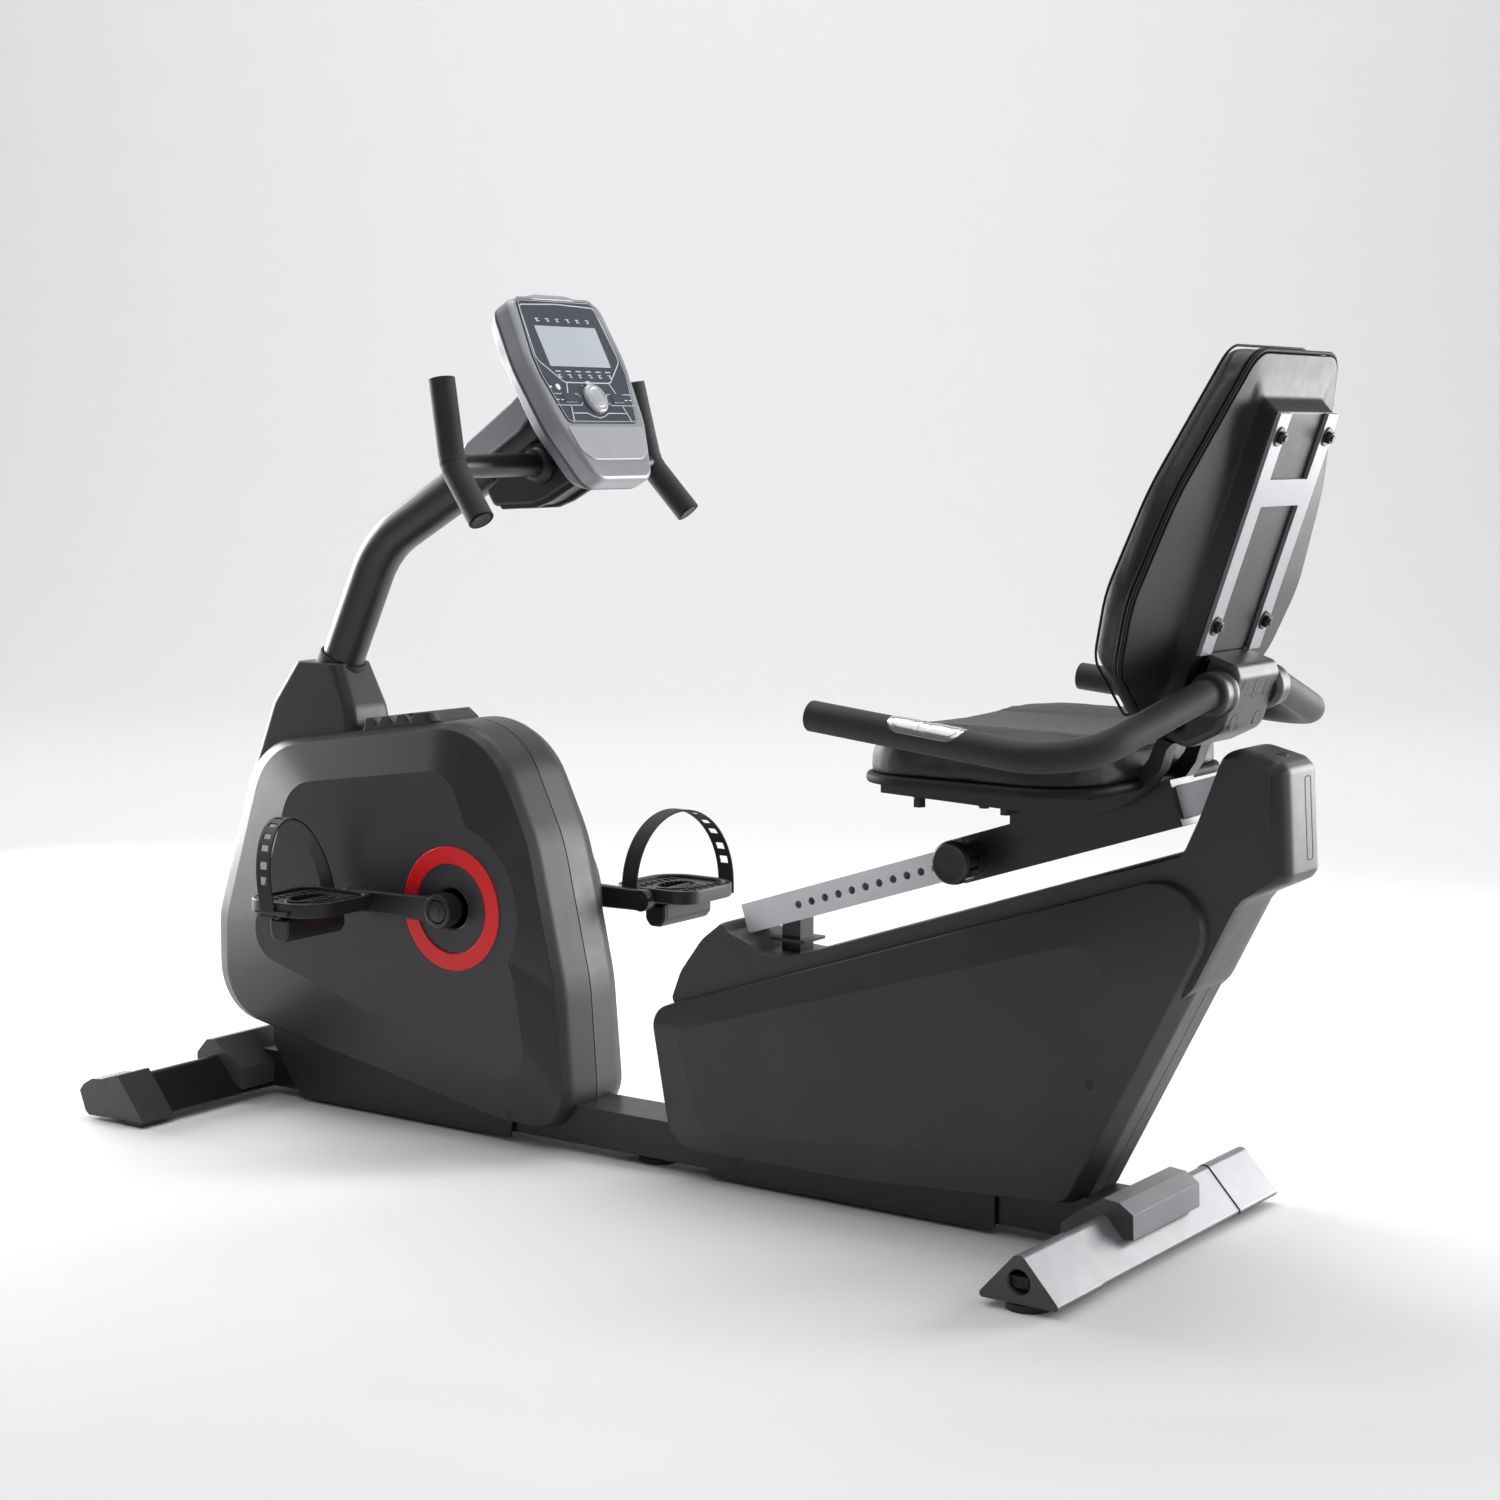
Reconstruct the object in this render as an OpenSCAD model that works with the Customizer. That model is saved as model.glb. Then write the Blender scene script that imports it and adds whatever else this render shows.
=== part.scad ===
// Recumbent exercise bike with a console mast, a belt drive inside the front cover,
// a sliding seat on a tilted rail, and two stabilizer bars on the floor.
// +X points to the rear of the bike, +Y to the rider's right, +Z up, millimetres.
// The origin is on the floor, in the middle of the bike's bounding box.

/* [Floor frame] */
// Width of the main floor beam
beam_w = 80; // [60:2:84]
// Height of the top face of the main floor beam above the floor
beam_top = 65; // [50:1:70]
// Wall thickness of the steel tubes
tube_wall = 3; // [2:0.5:4]
// Half length of the front stabilizer tube between its end caps
front_half = 235; // [200:1:240]
// Half length of the rear stabilizer tube between its end caps
rear_half = 177; // [160:1:230]
// Fore and aft width of each stabilizer bar
stab_w = 104; // [90:2:110]
// Height of the ridge of each stabilizer bar above the floor
stab_h = 68; // [60:1:72]

/* [Drive] */
// Length of each crank arm, centre to centre
crank_length = 170; // [150:5:180]
// Radius of the toothed crank pulley
pulley_r = 125; // [100:1:128]
// Radius of the flywheel disc
flywheel_r = 120; // [100:1:124]
// Outer radius of the red ring around the crank
ring_r = 84.7; // [70:0.1:90]
// Width of each pedal along the spindle
pedal_w = 134; // [110:1:140]

/* [Console] */
// Outside diameter of the console post
post_d = 60; // [50:1:64]
// Lean of the console face back from upright, degrees
console_tilt = 27.5; // [20:0.5:35]
// Diameter of the console hand bar
hand_bar_d = 31; // [25:1:34]

/* [Seat] */
// Tilt of the seat rail above level, degrees
rail_tilt = 18; // [14:0.5:22]
// Spacing of the adjusting holes along the rail
hole_pitch = 21.15; // [18:0.05:25]
// Tilt of the backrest from upright, degrees
back_tilt = 18.84; // [12:0.1:24]
// Diameter of the side handle bar of the seat
seat_bar_d = 35; // [30:1:38]
// Half width of the seat pad at the rear
seat_half = 205; // [180:1:215]

/* [Covers] */
// Wall thickness of the plastic covers
cover_t = 3; // [2.5:0.5:4]

/* [Hidden] */
by = beam_w / 2;
front_x = -787;
rear_x = 650;
crank = [-340, 322];
fly = [-500, 230];
idler = [-429, 181];
pivot = [-616, 297];
charcoal = [0.23, 0.23, 0.26];
dark = [0.11, 0.11, 0.12];
black = [0.05, 0.05, 0.055];
steel = [0.62, 0.63, 0.66];
silver = [0.72, 0.73, 0.76];
rail_grey = [0.85, 0.85, 0.87];
red = [0.9, 0.02, 0.03];

// The bounding box runs from the wheel housings in front to the tower's rear face
origin_shift = 6;

function unit(v) = v / norm(v);
function fillet(a, b, c, r, n = 6) =
    let (u = unit(a - b), w = unit(c - b), h = acos(u * w) / 2, t = r / tan(h),
        o = b + unit(u + w) * (r / sin(h)), s = b + u * t - o, e = b + w * t - o,
        g = 180 - 2 * h)
    [for (i = [0 : n]) o + (s * sin(g * (1 - i / n)) + e * sin(g * i / n)) / sin(g)];
function rounded(p, r, n = 6) =
    [for (i = [0 : len(p) - 1])
        each fillet(p[(i + len(p) - 1) % len(p)], p[i], p[(i + 1) % len(p)], r[i], n)];
function bent(p, r, n = 6) =
    [p[0], for (i = [1 : len(p) - 2]) each fillet(p[i - 1], p[i], p[i + 1], r[i - 1], n),
        p[len(p) - 1]];
function both_sides(h) = concat(h, [for (i = [len(h) - 1 : -1 : 0]) [-h[i][0], h[i][1]]]);
function shift(p, dx, dz) = [for (q = p) [q[0] + dx, q[1] + dz]];

module placed() translate([origin_shift, 0, 0]) children();
module slab(p, y0, y1) translate([0, y1, 0]) rotate([90, 0, 0]) linear_extrude(y1 - y0)
    polygon(p);
module slab_off(p, g, y0, y1) translate([0, y1, 0]) rotate([90, 0, 0])
    linear_extrude(y1 - y0) offset(delta = g) polygon(p);
module yrod(x, z, r, y0, y1, f = 48) translate([x, y1, z]) rotate([90, 0, 0])
    cylinder(r = r, h = y1 - y0, $fn = f);
module block(x0, x1, y0, y1, z0, z1) translate([x0, y0, z0]) cube([x1 - x0, y1 - y0, z1 - z0]);
module mirrored() {
    children();
    mirror([0, 1, 0]) children();
}
module sweep(p, r, ref = [0, 1, 0], k = 20) {
    n = len(p);
    t = [for (i = [0 : n - 1]) unit(p[min(i + 1, n - 1)] - p[max(i - 1, 0)])];
    a = [for (i = [0 : n - 1]) unit(ref - t[i] * (ref * t[i]))];
    b = [for (i = [0 : n - 1]) cross(t[i], a[i])];
    polyhedron(
        points = [for (i = [0 : n - 1]) for (j = [0 : k - 1])
            p[i] + r * (cos(360 * j / k) * a[i] + sin(360 * j / k) * b[i])],
        faces = concat([[for (j = [0 : k - 1]) j]],
            [[for (j = [k - 1 : -1 : 0]) (n - 1) * k + j]],
            [for (i = [0 : n - 2]) for (j = [0 : k - 1])
                [i * k + j, (i + 1) * k + j, (i + 1) * k + (j + 1) % k, i * k + (j + 1) % k]]),
        convexity = 6);
}
module at_console() translate([-197, 0, 1072]) rotate([0, -console_tilt, 0])
    rotate([90, 0, 90]) children();
module at_rail() translate([400, 0, 441.6]) rotate([0, -rail_tilt, 0]) children();
module at_back() translate([766, 0, 747]) rotate([0, back_tilt, 0]) children();
module at_post() translate([-620, 0, 643]) rotate([0, 26, 0]) children();

// Stabilizer section, a low ridge with the flat side down
stab_outline = rounded([[-stab_w / 2, 11], [stab_w / 2, 11], [0, stab_h]], [3, 3, 9], 4);
slope_turn = 90 - atan2(stab_w / 2, stab_h - 11);
module stab_prism(x0, g, y0, y1) translate([x0, 0, 0]) slab_off(stab_outline, g, y0, y1);
module stab_tube(x0, half) difference() {
    stab_prism(x0, 0, -half, half);
    stab_prism(x0, -tube_wall, -half - 1, half + 1);
}
module slope_rod(x0, side, y, r, a, b) translate([x0 + side * stab_w / 4, y, (11 + stab_h) / 2])
    rotate([0, side * slope_turn, 0]) translate([0, 0, a]) cylinder(r = r, h = b - a, $fn = 32);

// ---- Floor frame ----
module yoke(x0, side) intersection() {
    difference() {
        stab_prism(x0, 4, -62, 62);
        stab_prism(x0, 0, -63, 63);
    }
    block(side > 0 ? x0 + 2 : x0 - 70, side > 0 ? x0 + 70 : x0 - 2, -62, 62, 13, 80);
}
rear_post = [[538, beam_top - 1], [572, beam_top - 1], [800, 580], [752, 545]];
module post_front() difference() {
    block(150, 178, -15, 15, beam_top - 1, 400);
    block(150 + tube_wall, 178 - tube_wall, -15 + tube_wall, 15 - tube_wall, beam_top + 2, 401);
}
module post_rear() difference() {
    slab(rear_post, -18, 18);
    slab_off(rear_post, -tube_wall, -18 + tube_wall, 18 - tube_wall);
}
module rail_box(g, s0, s1) at_rail() block(s0, s1, -20 - g, 20 + g, -19 - g, 19 + g);
module main_beam() placed() color(charcoal) {
    difference() {
        union() {
            block(front_x, rear_x, -by, by, 13, beam_top);
            yoke(front_x, 1);
            yoke(rear_x, -1);
        }
        block(-700, 590, -by + tube_wall, by - tube_wall, 16, beam_top - tube_wall);
        stab_prism(front_x, 0, -by - 30, by + 30);
        stab_prism(rear_x, 0, -by - 30, by + 30);
        for (y = [-52, 52]) {
            slope_rod(front_x, 1, y, 4.05, -5, 20);
            slope_rod(rear_x, -1, y, 4.05, -5, 20);
        }
    }
    difference() {
        union() {
            post_front();
            post_rear();
            block(138, 190, -24, 24, 321, 325);
        }
        at_rail() block(-400, 500, -60, 60, -19, 200);
    }
}
module front_stabilizer() placed() color(black) difference() {
    stab_tube(front_x, front_half);
    for (y = [-52, 52]) slope_rod(front_x, 1, y, 4.05, -10, 10);
}
module rear_stabilizer() placed() color(steel) difference() {
    stab_tube(rear_x, rear_half);
    for (y = [-52, 52]) slope_rod(rear_x, -1, y, 4.05, -10, 10);
}
module frame_bolts() placed() color(dark) for (e = [[front_x, 1], [rear_x, -1]]) for (y = [-52, 52]) {
    slope_rod(e[0], e[1], y, 4, -9, 4.5);
    slope_rod(e[0], e[1], y, 7, 4, 9);
}
front_saddle = [[-826, 53], [-826, 63], [-806, 84], [-792, 86], [-734, 50], [-735, 19]];
rear_saddle = [[594, 25], [594, 45], [623, 67], [649, 83], [670, 81], [688, 69], [689, 40]];
module saddle(p, x0, half, beam_x0, beam_x1) difference() {
    slab(p, -half, half);
    slab_off(p, -cover_t, -half + cover_t, half - cover_t);
    stab_prism(x0, 0, -half - 1, half + 1);
    block(beam_x0, beam_x1, -by, by, 0, beam_top);
    yoke(x0, x0 < 0 ? 1 : -1);
}
module saddle_covers() placed() color(charcoal) {
    saddle(front_saddle, front_x, 105, front_x, front_x + 80);
    saddle(rear_saddle, rear_x, 85, rear_x - 80, rear_x);
}
front_cap_outline = [[-735, 9], [-785, 69.5], [-789, 69.5], [-806, 52], [-818, 60], [-838, 58],
    [-856, 48], [-864, 38], [-853, 10], [-846, 5]];
module front_cap() difference() {
    union() {
        slab(front_cap_outline, -293, -front_half);
        stab_prism(front_x, -tube_wall, -front_half - 1, -front_half + 20);
        block(-775, -745, -288, -242, 0, 10);
    }
    block(-870, -808, -277, -251, -1, 49);
    yrod(-832, 27, 4, -287, -245, 32);
}
module rear_cap() difference() {
    union() {
        stab_prism(rear_x, 1.5, -281, -rear_half);
        stab_prism(rear_x, -tube_wall, -rear_half - 1, -rear_half + 20);
    }
    translate([rear_x, -256, 25]) cylinder(r = 23, h = 17, $fn = 48);
    translate([rear_x, -256, 5]) cylinder(r = 5.06, h = 50, $fn = 32);
    yrod(rear_x, 34, 15, -282, -262);
}
module end_caps() placed() color(dark) mirrored() {
    front_cap();
    rear_cap();
}
module mid_foot() placed() color(black) translate([-56, 0, 0]) {
    cylinder(r = 30, h = 7, $fn = 48);
    translate([0, 0, 7]) cylinder(r = 8, h = 6, $fn = 32);
}

// ---- Masts inside the front cover ----
module front_mast() placed() color(dark) {
    difference() {
        union() {
            block(-715, -655, -25, 25, beam_top, 478);
            at_post() translate([0, 0, -185]) cylinder(r = post_d / 2 + 3, h = 165, $fn = 64);
        }
        block(-712, -658, -22, 22, beam_top + 4, 440);
        at_post() translate([0, 0, -120.04]) cylinder(r = post_d / 2 + 0.1, h = 110, $fn = 64);
        at_post() translate([0, 0, -180]) cylinder(r = 24, h = 61, $fn = 48);
    }
    slab([[-660, 320], [-655, 320], [-608, 305], [-608, 288], [-655, 272], [-660, 272]], -14, -6);
    yrod(pivot[0], pivot[1], 4, -46, -13, 32);
}
module drive_frame() placed() color(dark) {
    difference() {
        union() {
            block(-560, -312, -30, 30, beam_top, beam_top + 17);
            block(-530, -470, -30, 30, beam_top + 17, beam_top + 24);
            block(-530, -470, -58, 58, beam_top + 24, beam_top + 30);
            mirrored() slab([[-530, 94], [-470, 94], [-484, 244], [-516, 244]], 52, 58);
            block(-372, -312, -20, 20, beam_top + 17, 310);
            yrod(crank[0], crank[1], 26, -36, 26, 64);
            slab([[-655, 400], [-655, 440], [-350, 346], [-366, 310]], -15, 8);
            slab([[-445, 81], [-412, 81], [-414, 194], [-444, 194]], 14, 20);
            yrod(idler[0], idler[1], 6, 18, 46, 32);
        }
        yrod(crank[0], crank[1], 21, -37, 27, 64);
        yrod(fly[0], fly[1], 8, -59, 59, 48);
        block(-369, -315, -17, 17, beam_top + 20, 292);
    }
}

// ---- Front cover ----
crease = rounded([[-715, 514], [-304, 573], [-227, 415], [-184, 225], [-168, 34], [-279, 35],
    [-803, 126], [-800, 260]], [105, 120, 250, 300, 75, 150, 85, 120], 5);
middle = rounded([[-748, 519.2], [-301, 580.9], [-222, 415], [-178, 225], [-163, 30], [-279, 28],
    [-836, 121], [-836, 262]], [105, 118, 250, 300, 72, 150, 80, 120], 5);
centre = rounded([[-760, 517.5], [-299, 581.2], [-218, 415], [-174, 225], [-160, 27], [-279, 26],
    [-850, 118], [-852, 263]], [105, 116, 250, 300, 70, 150, 76, 120], 5);
panel = rounded([[-641, 470], [-345, 511], [-232, 235], [-207, 84], [-729, 225]],
    [60, 50, 100, 40, 45], 5);
module front_volume(g) {
    hull() {
        slab_off(centre, -g, -4, 4);
        slab_off(middle, -g, -48 + g, 48 - g);
        slab_off(crease, -g, -65 + g, 65 - g);
        slab_off(panel, -g / 2, -91 + g, 91 - g);
    }
    mirrored() translate([crank[0], -64 + g, crank[1]]) rotate([90, 0, 0])
        cylinder(r1 = 131 - g, r2 = 115 - g, h = 27, $fn = 64);
}
front_skirt = [[-729, 124], [-729, 80], [-688, 20], [-666, 5], [-279, 5], [-275, 23], [-275, 42]];
module front_half_cover(side) placed() color(charcoal) difference() {
    union() {
        difference() {
            front_volume(0);
            front_volume(cover_t);
        }
        slab(front_skirt, side > 0 ? 43 : -46, side > 0 ? 46 : -43);
    }
    block(-1000, 100, side > 0 ? -200 : 0, side > 0 ? 0 : 200, -10, 700);
    block(-1000, 100, -by - 1, by + 1, -10, beam_top + 1);
    block(-561, -311, -31, 31, 0, beam_top + 25);
    block(-716, -654, -26, 26, 0, 130);
    at_post() translate([0, 0, -200]) cylinder(r = 36, h = 300, $fn = 48);
    yrod(crank[0], crank[1], 27, -130, 130, 48);
    yrod(-752, 180, 7, 40, 130, 32);
    for (h = [[-333, 532], [-640, 34], [-292, 24]]) yrod(h[0], h[1], 4, -110, 110, 16);
}
module front_cover_left() front_half_cover(-1);
module front_cover_right() front_half_cover(1);
module ring_trims() placed() color(red) mirrored() difference() {
    yrod(crank[0], crank[1], ring_r, -93, -91, 96);
    yrod(crank[0], crank[1], ring_r - 23.3, -94, -90, 96);
}
module power_inlet() placed() color(black) difference() {
    yrod(-752, 180, 7, 62, 79, 32);
    yrod(-752, 180, 4, 68, 80, 32);
}
function top_z(x) = 517.5 + (x + 760) * (581.2 - 517.5) / (760 - 299);
module top_tray() placed() color(charcoal) difference() {
    slab([[-540, top_z(-540) + 0.05], [-402, top_z(-402) + 0.05], [-404, top_z(-404) + 4],
        [-417, top_z(-417) + 16], [-540, top_z(-540) + 16]], -47, 47);
    slab([[-530, top_z(-530) + 8], [-424, top_z(-424) + 8], [-424, top_z(-424) + 30],
        [-530, top_z(-530) + 30]], -38, 38);
    for (x = [-514, -484, -454]) slab([[x - 8, top_z(x) + 17], [x, top_z(x) + 9],
        [x + 8, top_z(x) + 17]], -48, -37);
}
module collar_layer(x0, x1, w, z) translate([0, 0, z]) linear_extrude(3)
    polygon(rounded([[x0, -w], [x1, -w], [x1, w], [x0, w]], [14, 14, 14, 14], 3));
module post_collar() placed() color(charcoal) difference() {
    hull() {
        collar_layer(-684, -598, 37, 634);
        collar_layer(-727, -570, 42, 576);
        collar_layer(-757, -557, 47.5, 490);
    }
    front_volume(0);
    at_post() translate([0, 0, -200]) cylinder(r = post_d / 2 + 3.4, h = 182, $fn = 48);
    at_post() translate([0, 0, -30]) cylinder(r = post_d / 2, h = 60, $fn = 48);
}

// ---- Console mast ----
post_path = bent([[-672.6, 0, 535.1], [-541, 0, 805.5], [-213.5, 0, 987]], [150], 9);
post_bore = bent([[-681.4, 0, 517.1], [-541, 0, 805.5], [-196, 0, 996.7]], [150], 9);
module post_plate() translate([-213.5, 0, 987]) rotate([0, 90 - console_tilt, 0])
    translate([0, 0, -4]) cube([70, 66, 4], center = true);
module console_post() placed() color(charcoal) {
    difference() {
        sweep(post_path, post_d / 2, k = 32);
        sweep(post_bore, post_d / 2 - tube_wall, k = 32);
    }
    post_plate();
}
grip_path = bent([[-251, -197, 1028], [-227, -205, 918], [-170, -217, 851]], [60], 6);
module grip_cores() mirrored() sweep(grip_path, 10, k = 16);
module console_bar() placed() color(black) difference() {
    union() {
        yrod(-227, 918, hand_bar_d / 2, -201, 201);
        mirrored() sweep([for (p = grip_path) p + [0, 0, 0]], 10, k = 16);
    }
    yrod(-227, 918, hand_bar_d / 2 - 3, -185, 185);
}
module console_grips() placed() color(black) difference() {
    mirrored() sweep(grip_path, 17, k = 24);
    mirrored() sweep(bent([[-253.5, -196.2, 1039.5], [-227, -205, 918], [-156, -220, 834.5]],
        [60], 6), 10.3, k = 16);
    yrod(-227, 918, hand_bar_d / 2, -201, 201);
}
clamp_outline = [[-327, 884], [-312, 862], [-242, 865], [-222, 872], [-176, 896], [-151, 904],
    [-185, 955], [-250, 945]];
module console_clamp() placed() color(dark) difference() {
    slab(clamp_outline, -30, 30);
    sweep(post_path, post_d / 2, k = 32);
    yrod(-227, 918, hand_bar_d / 2, -40, 40);
    at_console() translate([0, 0, -20]) cube([300, 400, 78], center = true);
}
neck_outline = [[-372, 910], [-358, 945], [-276, 1000], [-236, 1034], [-226, 1000], [-262, 962],
    [-360, 902]];
module neck_cover() placed() color(silver) difference() {
    slab(neck_outline, -36, 36);
    slab_off(neck_outline, -cover_t, -33, 33);
    sweep(post_path, post_d / 2, k = 32);
    post_plate();
    at_console() translate([0, 0, -10]) cube([300, 400, 86], center = true);
    block(-345, -322, -40, -30, 944, 950);
}
housing = rounded(both_sides([[58, -195], [72, -160], [92, -111], [104, -18], [95, 68], [30, 80]]),
    [26, 60, 120, 160, 20, 60, 60, 20, 160, 120, 60, 26], 4);
back_outline = rounded(both_sides([[50, -180], [84, -100], [92, 10], [84, 58]]),
    [24, 100, 120, 22, 22, 120, 100, 24], 4);
face_outline = rounded(both_sides([[72, -112], [90, -43], [91, -14], [78, 69]]),
    [10, 20, 20, 10, 10, 20, 20, 10], 3);
module key_hole(y) translate([y, -76, 0]) cube([26.3, 14.3, 40], center = true);
module console_front() placed() color(silver) at_console() difference() {
    translate([0, 0, -25]) linear_extrude(25) polygon(housing);
    difference() {
        translate([0, 0, -26]) linear_extrude(23) offset(delta = -cover_t) polygon(housing);
        for (x = [-66, 66]) for (s = [-40, 46]) translate([x, s, -11]) cylinder(r = 4, h = 9, $fn = 24);
    }
    translate([0, 0, -1.4]) linear_extrude(3) polygon(face_outline);
    translate([0, 0, -4]) linear_extrude(6) square([127, 60], center = true);
    translate([0, -78, -6]) cylinder(r = 3.05, h = 12, $fn = 32);
    key_hole(-50);
    key_hole(50);
}
module console_back() placed() color(charcoal) at_console() difference() {
    hull() {
        translate([0, 0, -28]) linear_extrude(3) polygon(housing);
        translate([0, 0, -50]) linear_extrude(6) polygon(back_outline);
    }
    hull() {
        translate([0, 0, -27]) linear_extrude(3) offset(delta = -cover_t) polygon(housing);
        translate([0, 0, -47]) linear_extrude(6) offset(delta = -cover_t) polygon(back_outline);
    }
}
module faceplate() placed() color([0.36, 0.39, 0.44]) at_console() difference() {
    union() {
        translate([0, 0, -1.4]) linear_extrude(2) polygon(face_outline);
        translate([0, 0, -4]) linear_extrude(3) square([126, 59.3], center = true);
    }
    translate([0, -78, -6]) cylinder(r = 3.05, h = 12, $fn = 32);
    key_hole(-50);
    key_hole(50);
}
module circuit_board() placed() color([0.1, 0.35, 0.2]) at_console() {
    translate([0, 0, -11.8]) cube([150, 104, 1.6], center = true);
    translate([0, -10, -16]) cube([40, 30, 6.8], center = true);
}
module dial() placed() color(silver) at_console() translate([0, -78, 0]) {
    translate([0, 0, 0.8]) cylinder(r1 = 21, r2 = 20, h = 10, $fn = 64);
    translate([0, 0, -9]) cylinder(r = 3, h = 10, $fn = 32);
}
module key_part(y) placed() color(dark) at_console() {
    translate([y, -76, -0.6]) cube([26, 14, 4.6], center = true);
    translate([y, -76, -5.6]) cube([20, 10, 6], center = true);
}
module key_left() key_part(-50);
module key_right() key_part(50);

// ---- Rear cover and tower ----
rear_crease = rounded([[-26, 217], [810, 493], [586, 60], [286, 41], [7, 41]],
    [30, 56, 32, 300, 45], 6);
rear_centre = rounded([[-30, 217], [822, 493], [599, 56], [286, 39], [4, 39]],
    [30, 56, 32, 300, 45], 6);
rear_panel = rounded([[22, 197], [672, 394], [532, 116], [229, 83], [60, 73]],
    [25, 38, 30, 300, 30], 6);
module rear_volume(g) hull() {
    slab_off(rear_centre, -g, -30, 30);
    slab_off(rear_crease, -g, -62 + g, 62 - g);
    slab_off(rear_panel, -g / 2, -72 + g, 72 - g);
}
tower_top = [[-1, 234], [14, 272], [48, 317], [80, 342], [92, 330], [128, 318], [140, 309],
    [180, 307], [721, 488], [739, 527], [765, 597], [771, 604], [787, 610], [834, 599],
    [845, 588], [852, 470], [846, 461], [800, 439], [791, 429], [741, 330], [727, 318]];
tower_outline = concat(tower_top, [[690, 318], [650, 396], [22, 196]]);
module rear_half_cover(side) placed() color(charcoal) difference() {
    union() {
        difference() {
            rear_volume(0);
            rear_volume(cover_t);
        }
        slab([[57, 47], [57, 8], [64, 5], [476, 5], [483, 12], [483, 52]],
            side > 0 ? 43 : -46, side > 0 ? 46 : -43);
    }
    block(-100, 900, side > 0 ? -200 : 0, side > 0 ? 0 : 200, -10, 700);
    block(-100, 900, -by - 1, by + 1, -10, beam_top + 1);
    slab(tower_outline, -50, 50);
    for (h = [[97, 28], [441, 28], [620, 209]]) yrod(h[0], h[1], 4, -110, 110, 16);
}
module rear_cover_left() rear_half_cover(-1);
module rear_cover_right() rear_half_cover(1);
module tower_cover() placed() color(charcoal) difference() {
    intersection() {
        slab(tower_outline, -50, 50);
        translate([0, 0, 150]) linear_extrude(500)
            polygon(rounded([[-10, -50], [852, -50], [852, 50], [-10, 50]], [18, 18, 18, 18], 4));
    }
    intersection() {
        slab_off(tower_outline, -cover_t, -47, 47);
        translate([0, 0, 150]) linear_extrude(500)
            polygon(rounded([[-7, -47], [849, -47], [849, 47], [-7, 47]], [15, 15, 15, 15], 4));
    }
    rail_box(2, -340, 424);
    block(148, 180, -17, 17, 100, 400);
    slab([[534, 60], [577, 60], [806, 584], [746, 548]], -20, 20);
    block(835, 860, 9, 20, 479, 582);
    translate([821, 0, 590]) cylinder(r = 5, h = 30, $fn = 24);
    block(60, 140, -24, 24, 312, 380);
}
module seat_rail() placed() color(rail_grey) at_rail() difference() {
    block(-320, 420, -20, 20, -19, 19);
    block(-321, 421, -17, 17, -16, 16);
    for (k = [0 : 14]) translate([-233.4 + k * hole_pitch, -16, 0]) rotate([90, 0, 0])
        cylinder(r = 5, h = 6, $fn = 24);
}

// ---- Drive parts ----
module crank_bearings() placed() color(steel) for (y = [-36, 14]) difference() {
    yrod(crank[0], crank[1], 21, y, y + 12, 64);
    yrod(crank[0], crank[1], 10.05, y - 1, y + 13, 64);
}
module flywheel_axle() placed() color(steel) yrod(fly[0], fly[1], 8, -66, 66, 48);
module drive_belt() placed() color(black) difference() {
    hull() {
        yrod(crank[0], crank[1], pulley_r + 3.3, 32, 42, 96);
        yrod(fly[0], fly[1], 21.3, 32, 42, 96);
    }
    hull() {
        yrod(crank[0], crank[1], pulley_r + 0.3, 31, 43, 96);
        yrod(fly[0], fly[1], 18.3, 31, 43, 96);
    }
}
module brake_servo() placed() color(black) block(-655, -610, -5, 22, 120, 180);
module crank_axle() placed() color(steel) yrod(crank[0], crank[1], 10, -118, 118, 64);
module crank_pulley() placed() color(dark) difference() {
    union() {
        yrod(crank[0], crank[1], pulley_r, 31, 43, 128);
        yrod(crank[0], crank[1], 24, 28, 48, 48);
    }
    yrod(crank[0], crank[1], 10, 20, 60, 64);
    for (a = [0 : 60 : 300]) yrod(crank[0] + 72 * cos(a), crank[1] + 72 * sin(a), 24, 20, 60);
}
module arm_shape(side) {
    yrod(crank[0], crank[1], 24, -123, -99, 64);
    yrod(crank[0] + side * crank_length, crank[1], 15, -118, -103, 48);
    slab([[crank[0], crank[1] - 17], [crank[0] + side * crank_length, crank[1] - 11],
        [crank[0] + side * crank_length, crank[1] + 11], [crank[0], crank[1] + 17]], -117, -104);
    yrod(crank[0] + side * crank_length, crank[1], 6, -250, -110, 48);
}
module crank_arms() placed() color(dark) difference() {
    union() {
        arm_shape(-1);
        mirror([0, 1, 0]) arm_shape(1);
    }
    yrod(crank[0], crank[1], 10, -118, 118, 64);
}
pedal_in = 122;
pedal_out = pedal_in + pedal_w;
pedal_plan = rounded([[-68, -pedal_out], [68, -pedal_out], [68, -pedal_in], [-68, -pedal_in]],
    [38, 38, 38, 38], 6);
module pedal(x) translate([x, 0, 0]) difference() {
    union() {
        translate([0, 0, crank[1] - 4]) linear_extrude(19) difference() {
            polygon(pedal_plan);
            offset(delta = -7) polygon(pedal_plan);
        }
        yrod(0, crank[1], 13, -pedal_out + 4, -pedal_in, 48);
        for (s = [-40, -20, 20, 40]) block(s - 3, s + 3, -pedal_out + 6, -pedal_in - 6,
            crank[1] - 2, crank[1] + 13);
        block(-62, 62, -196, -184, crank[1] - 2, crank[1] + 13);
        slab([[-17, crank[1]], [17, crank[1]], [17, crank[1] - 30], [11, crank[1] - 41],
            [-11, crank[1] - 41], [-17, crank[1] - 30]], -248, -136);
    }
    yrod(0, crank[1], 6.05, -pedal_out - 4, -pedal_in + 2, 48);
}
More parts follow.
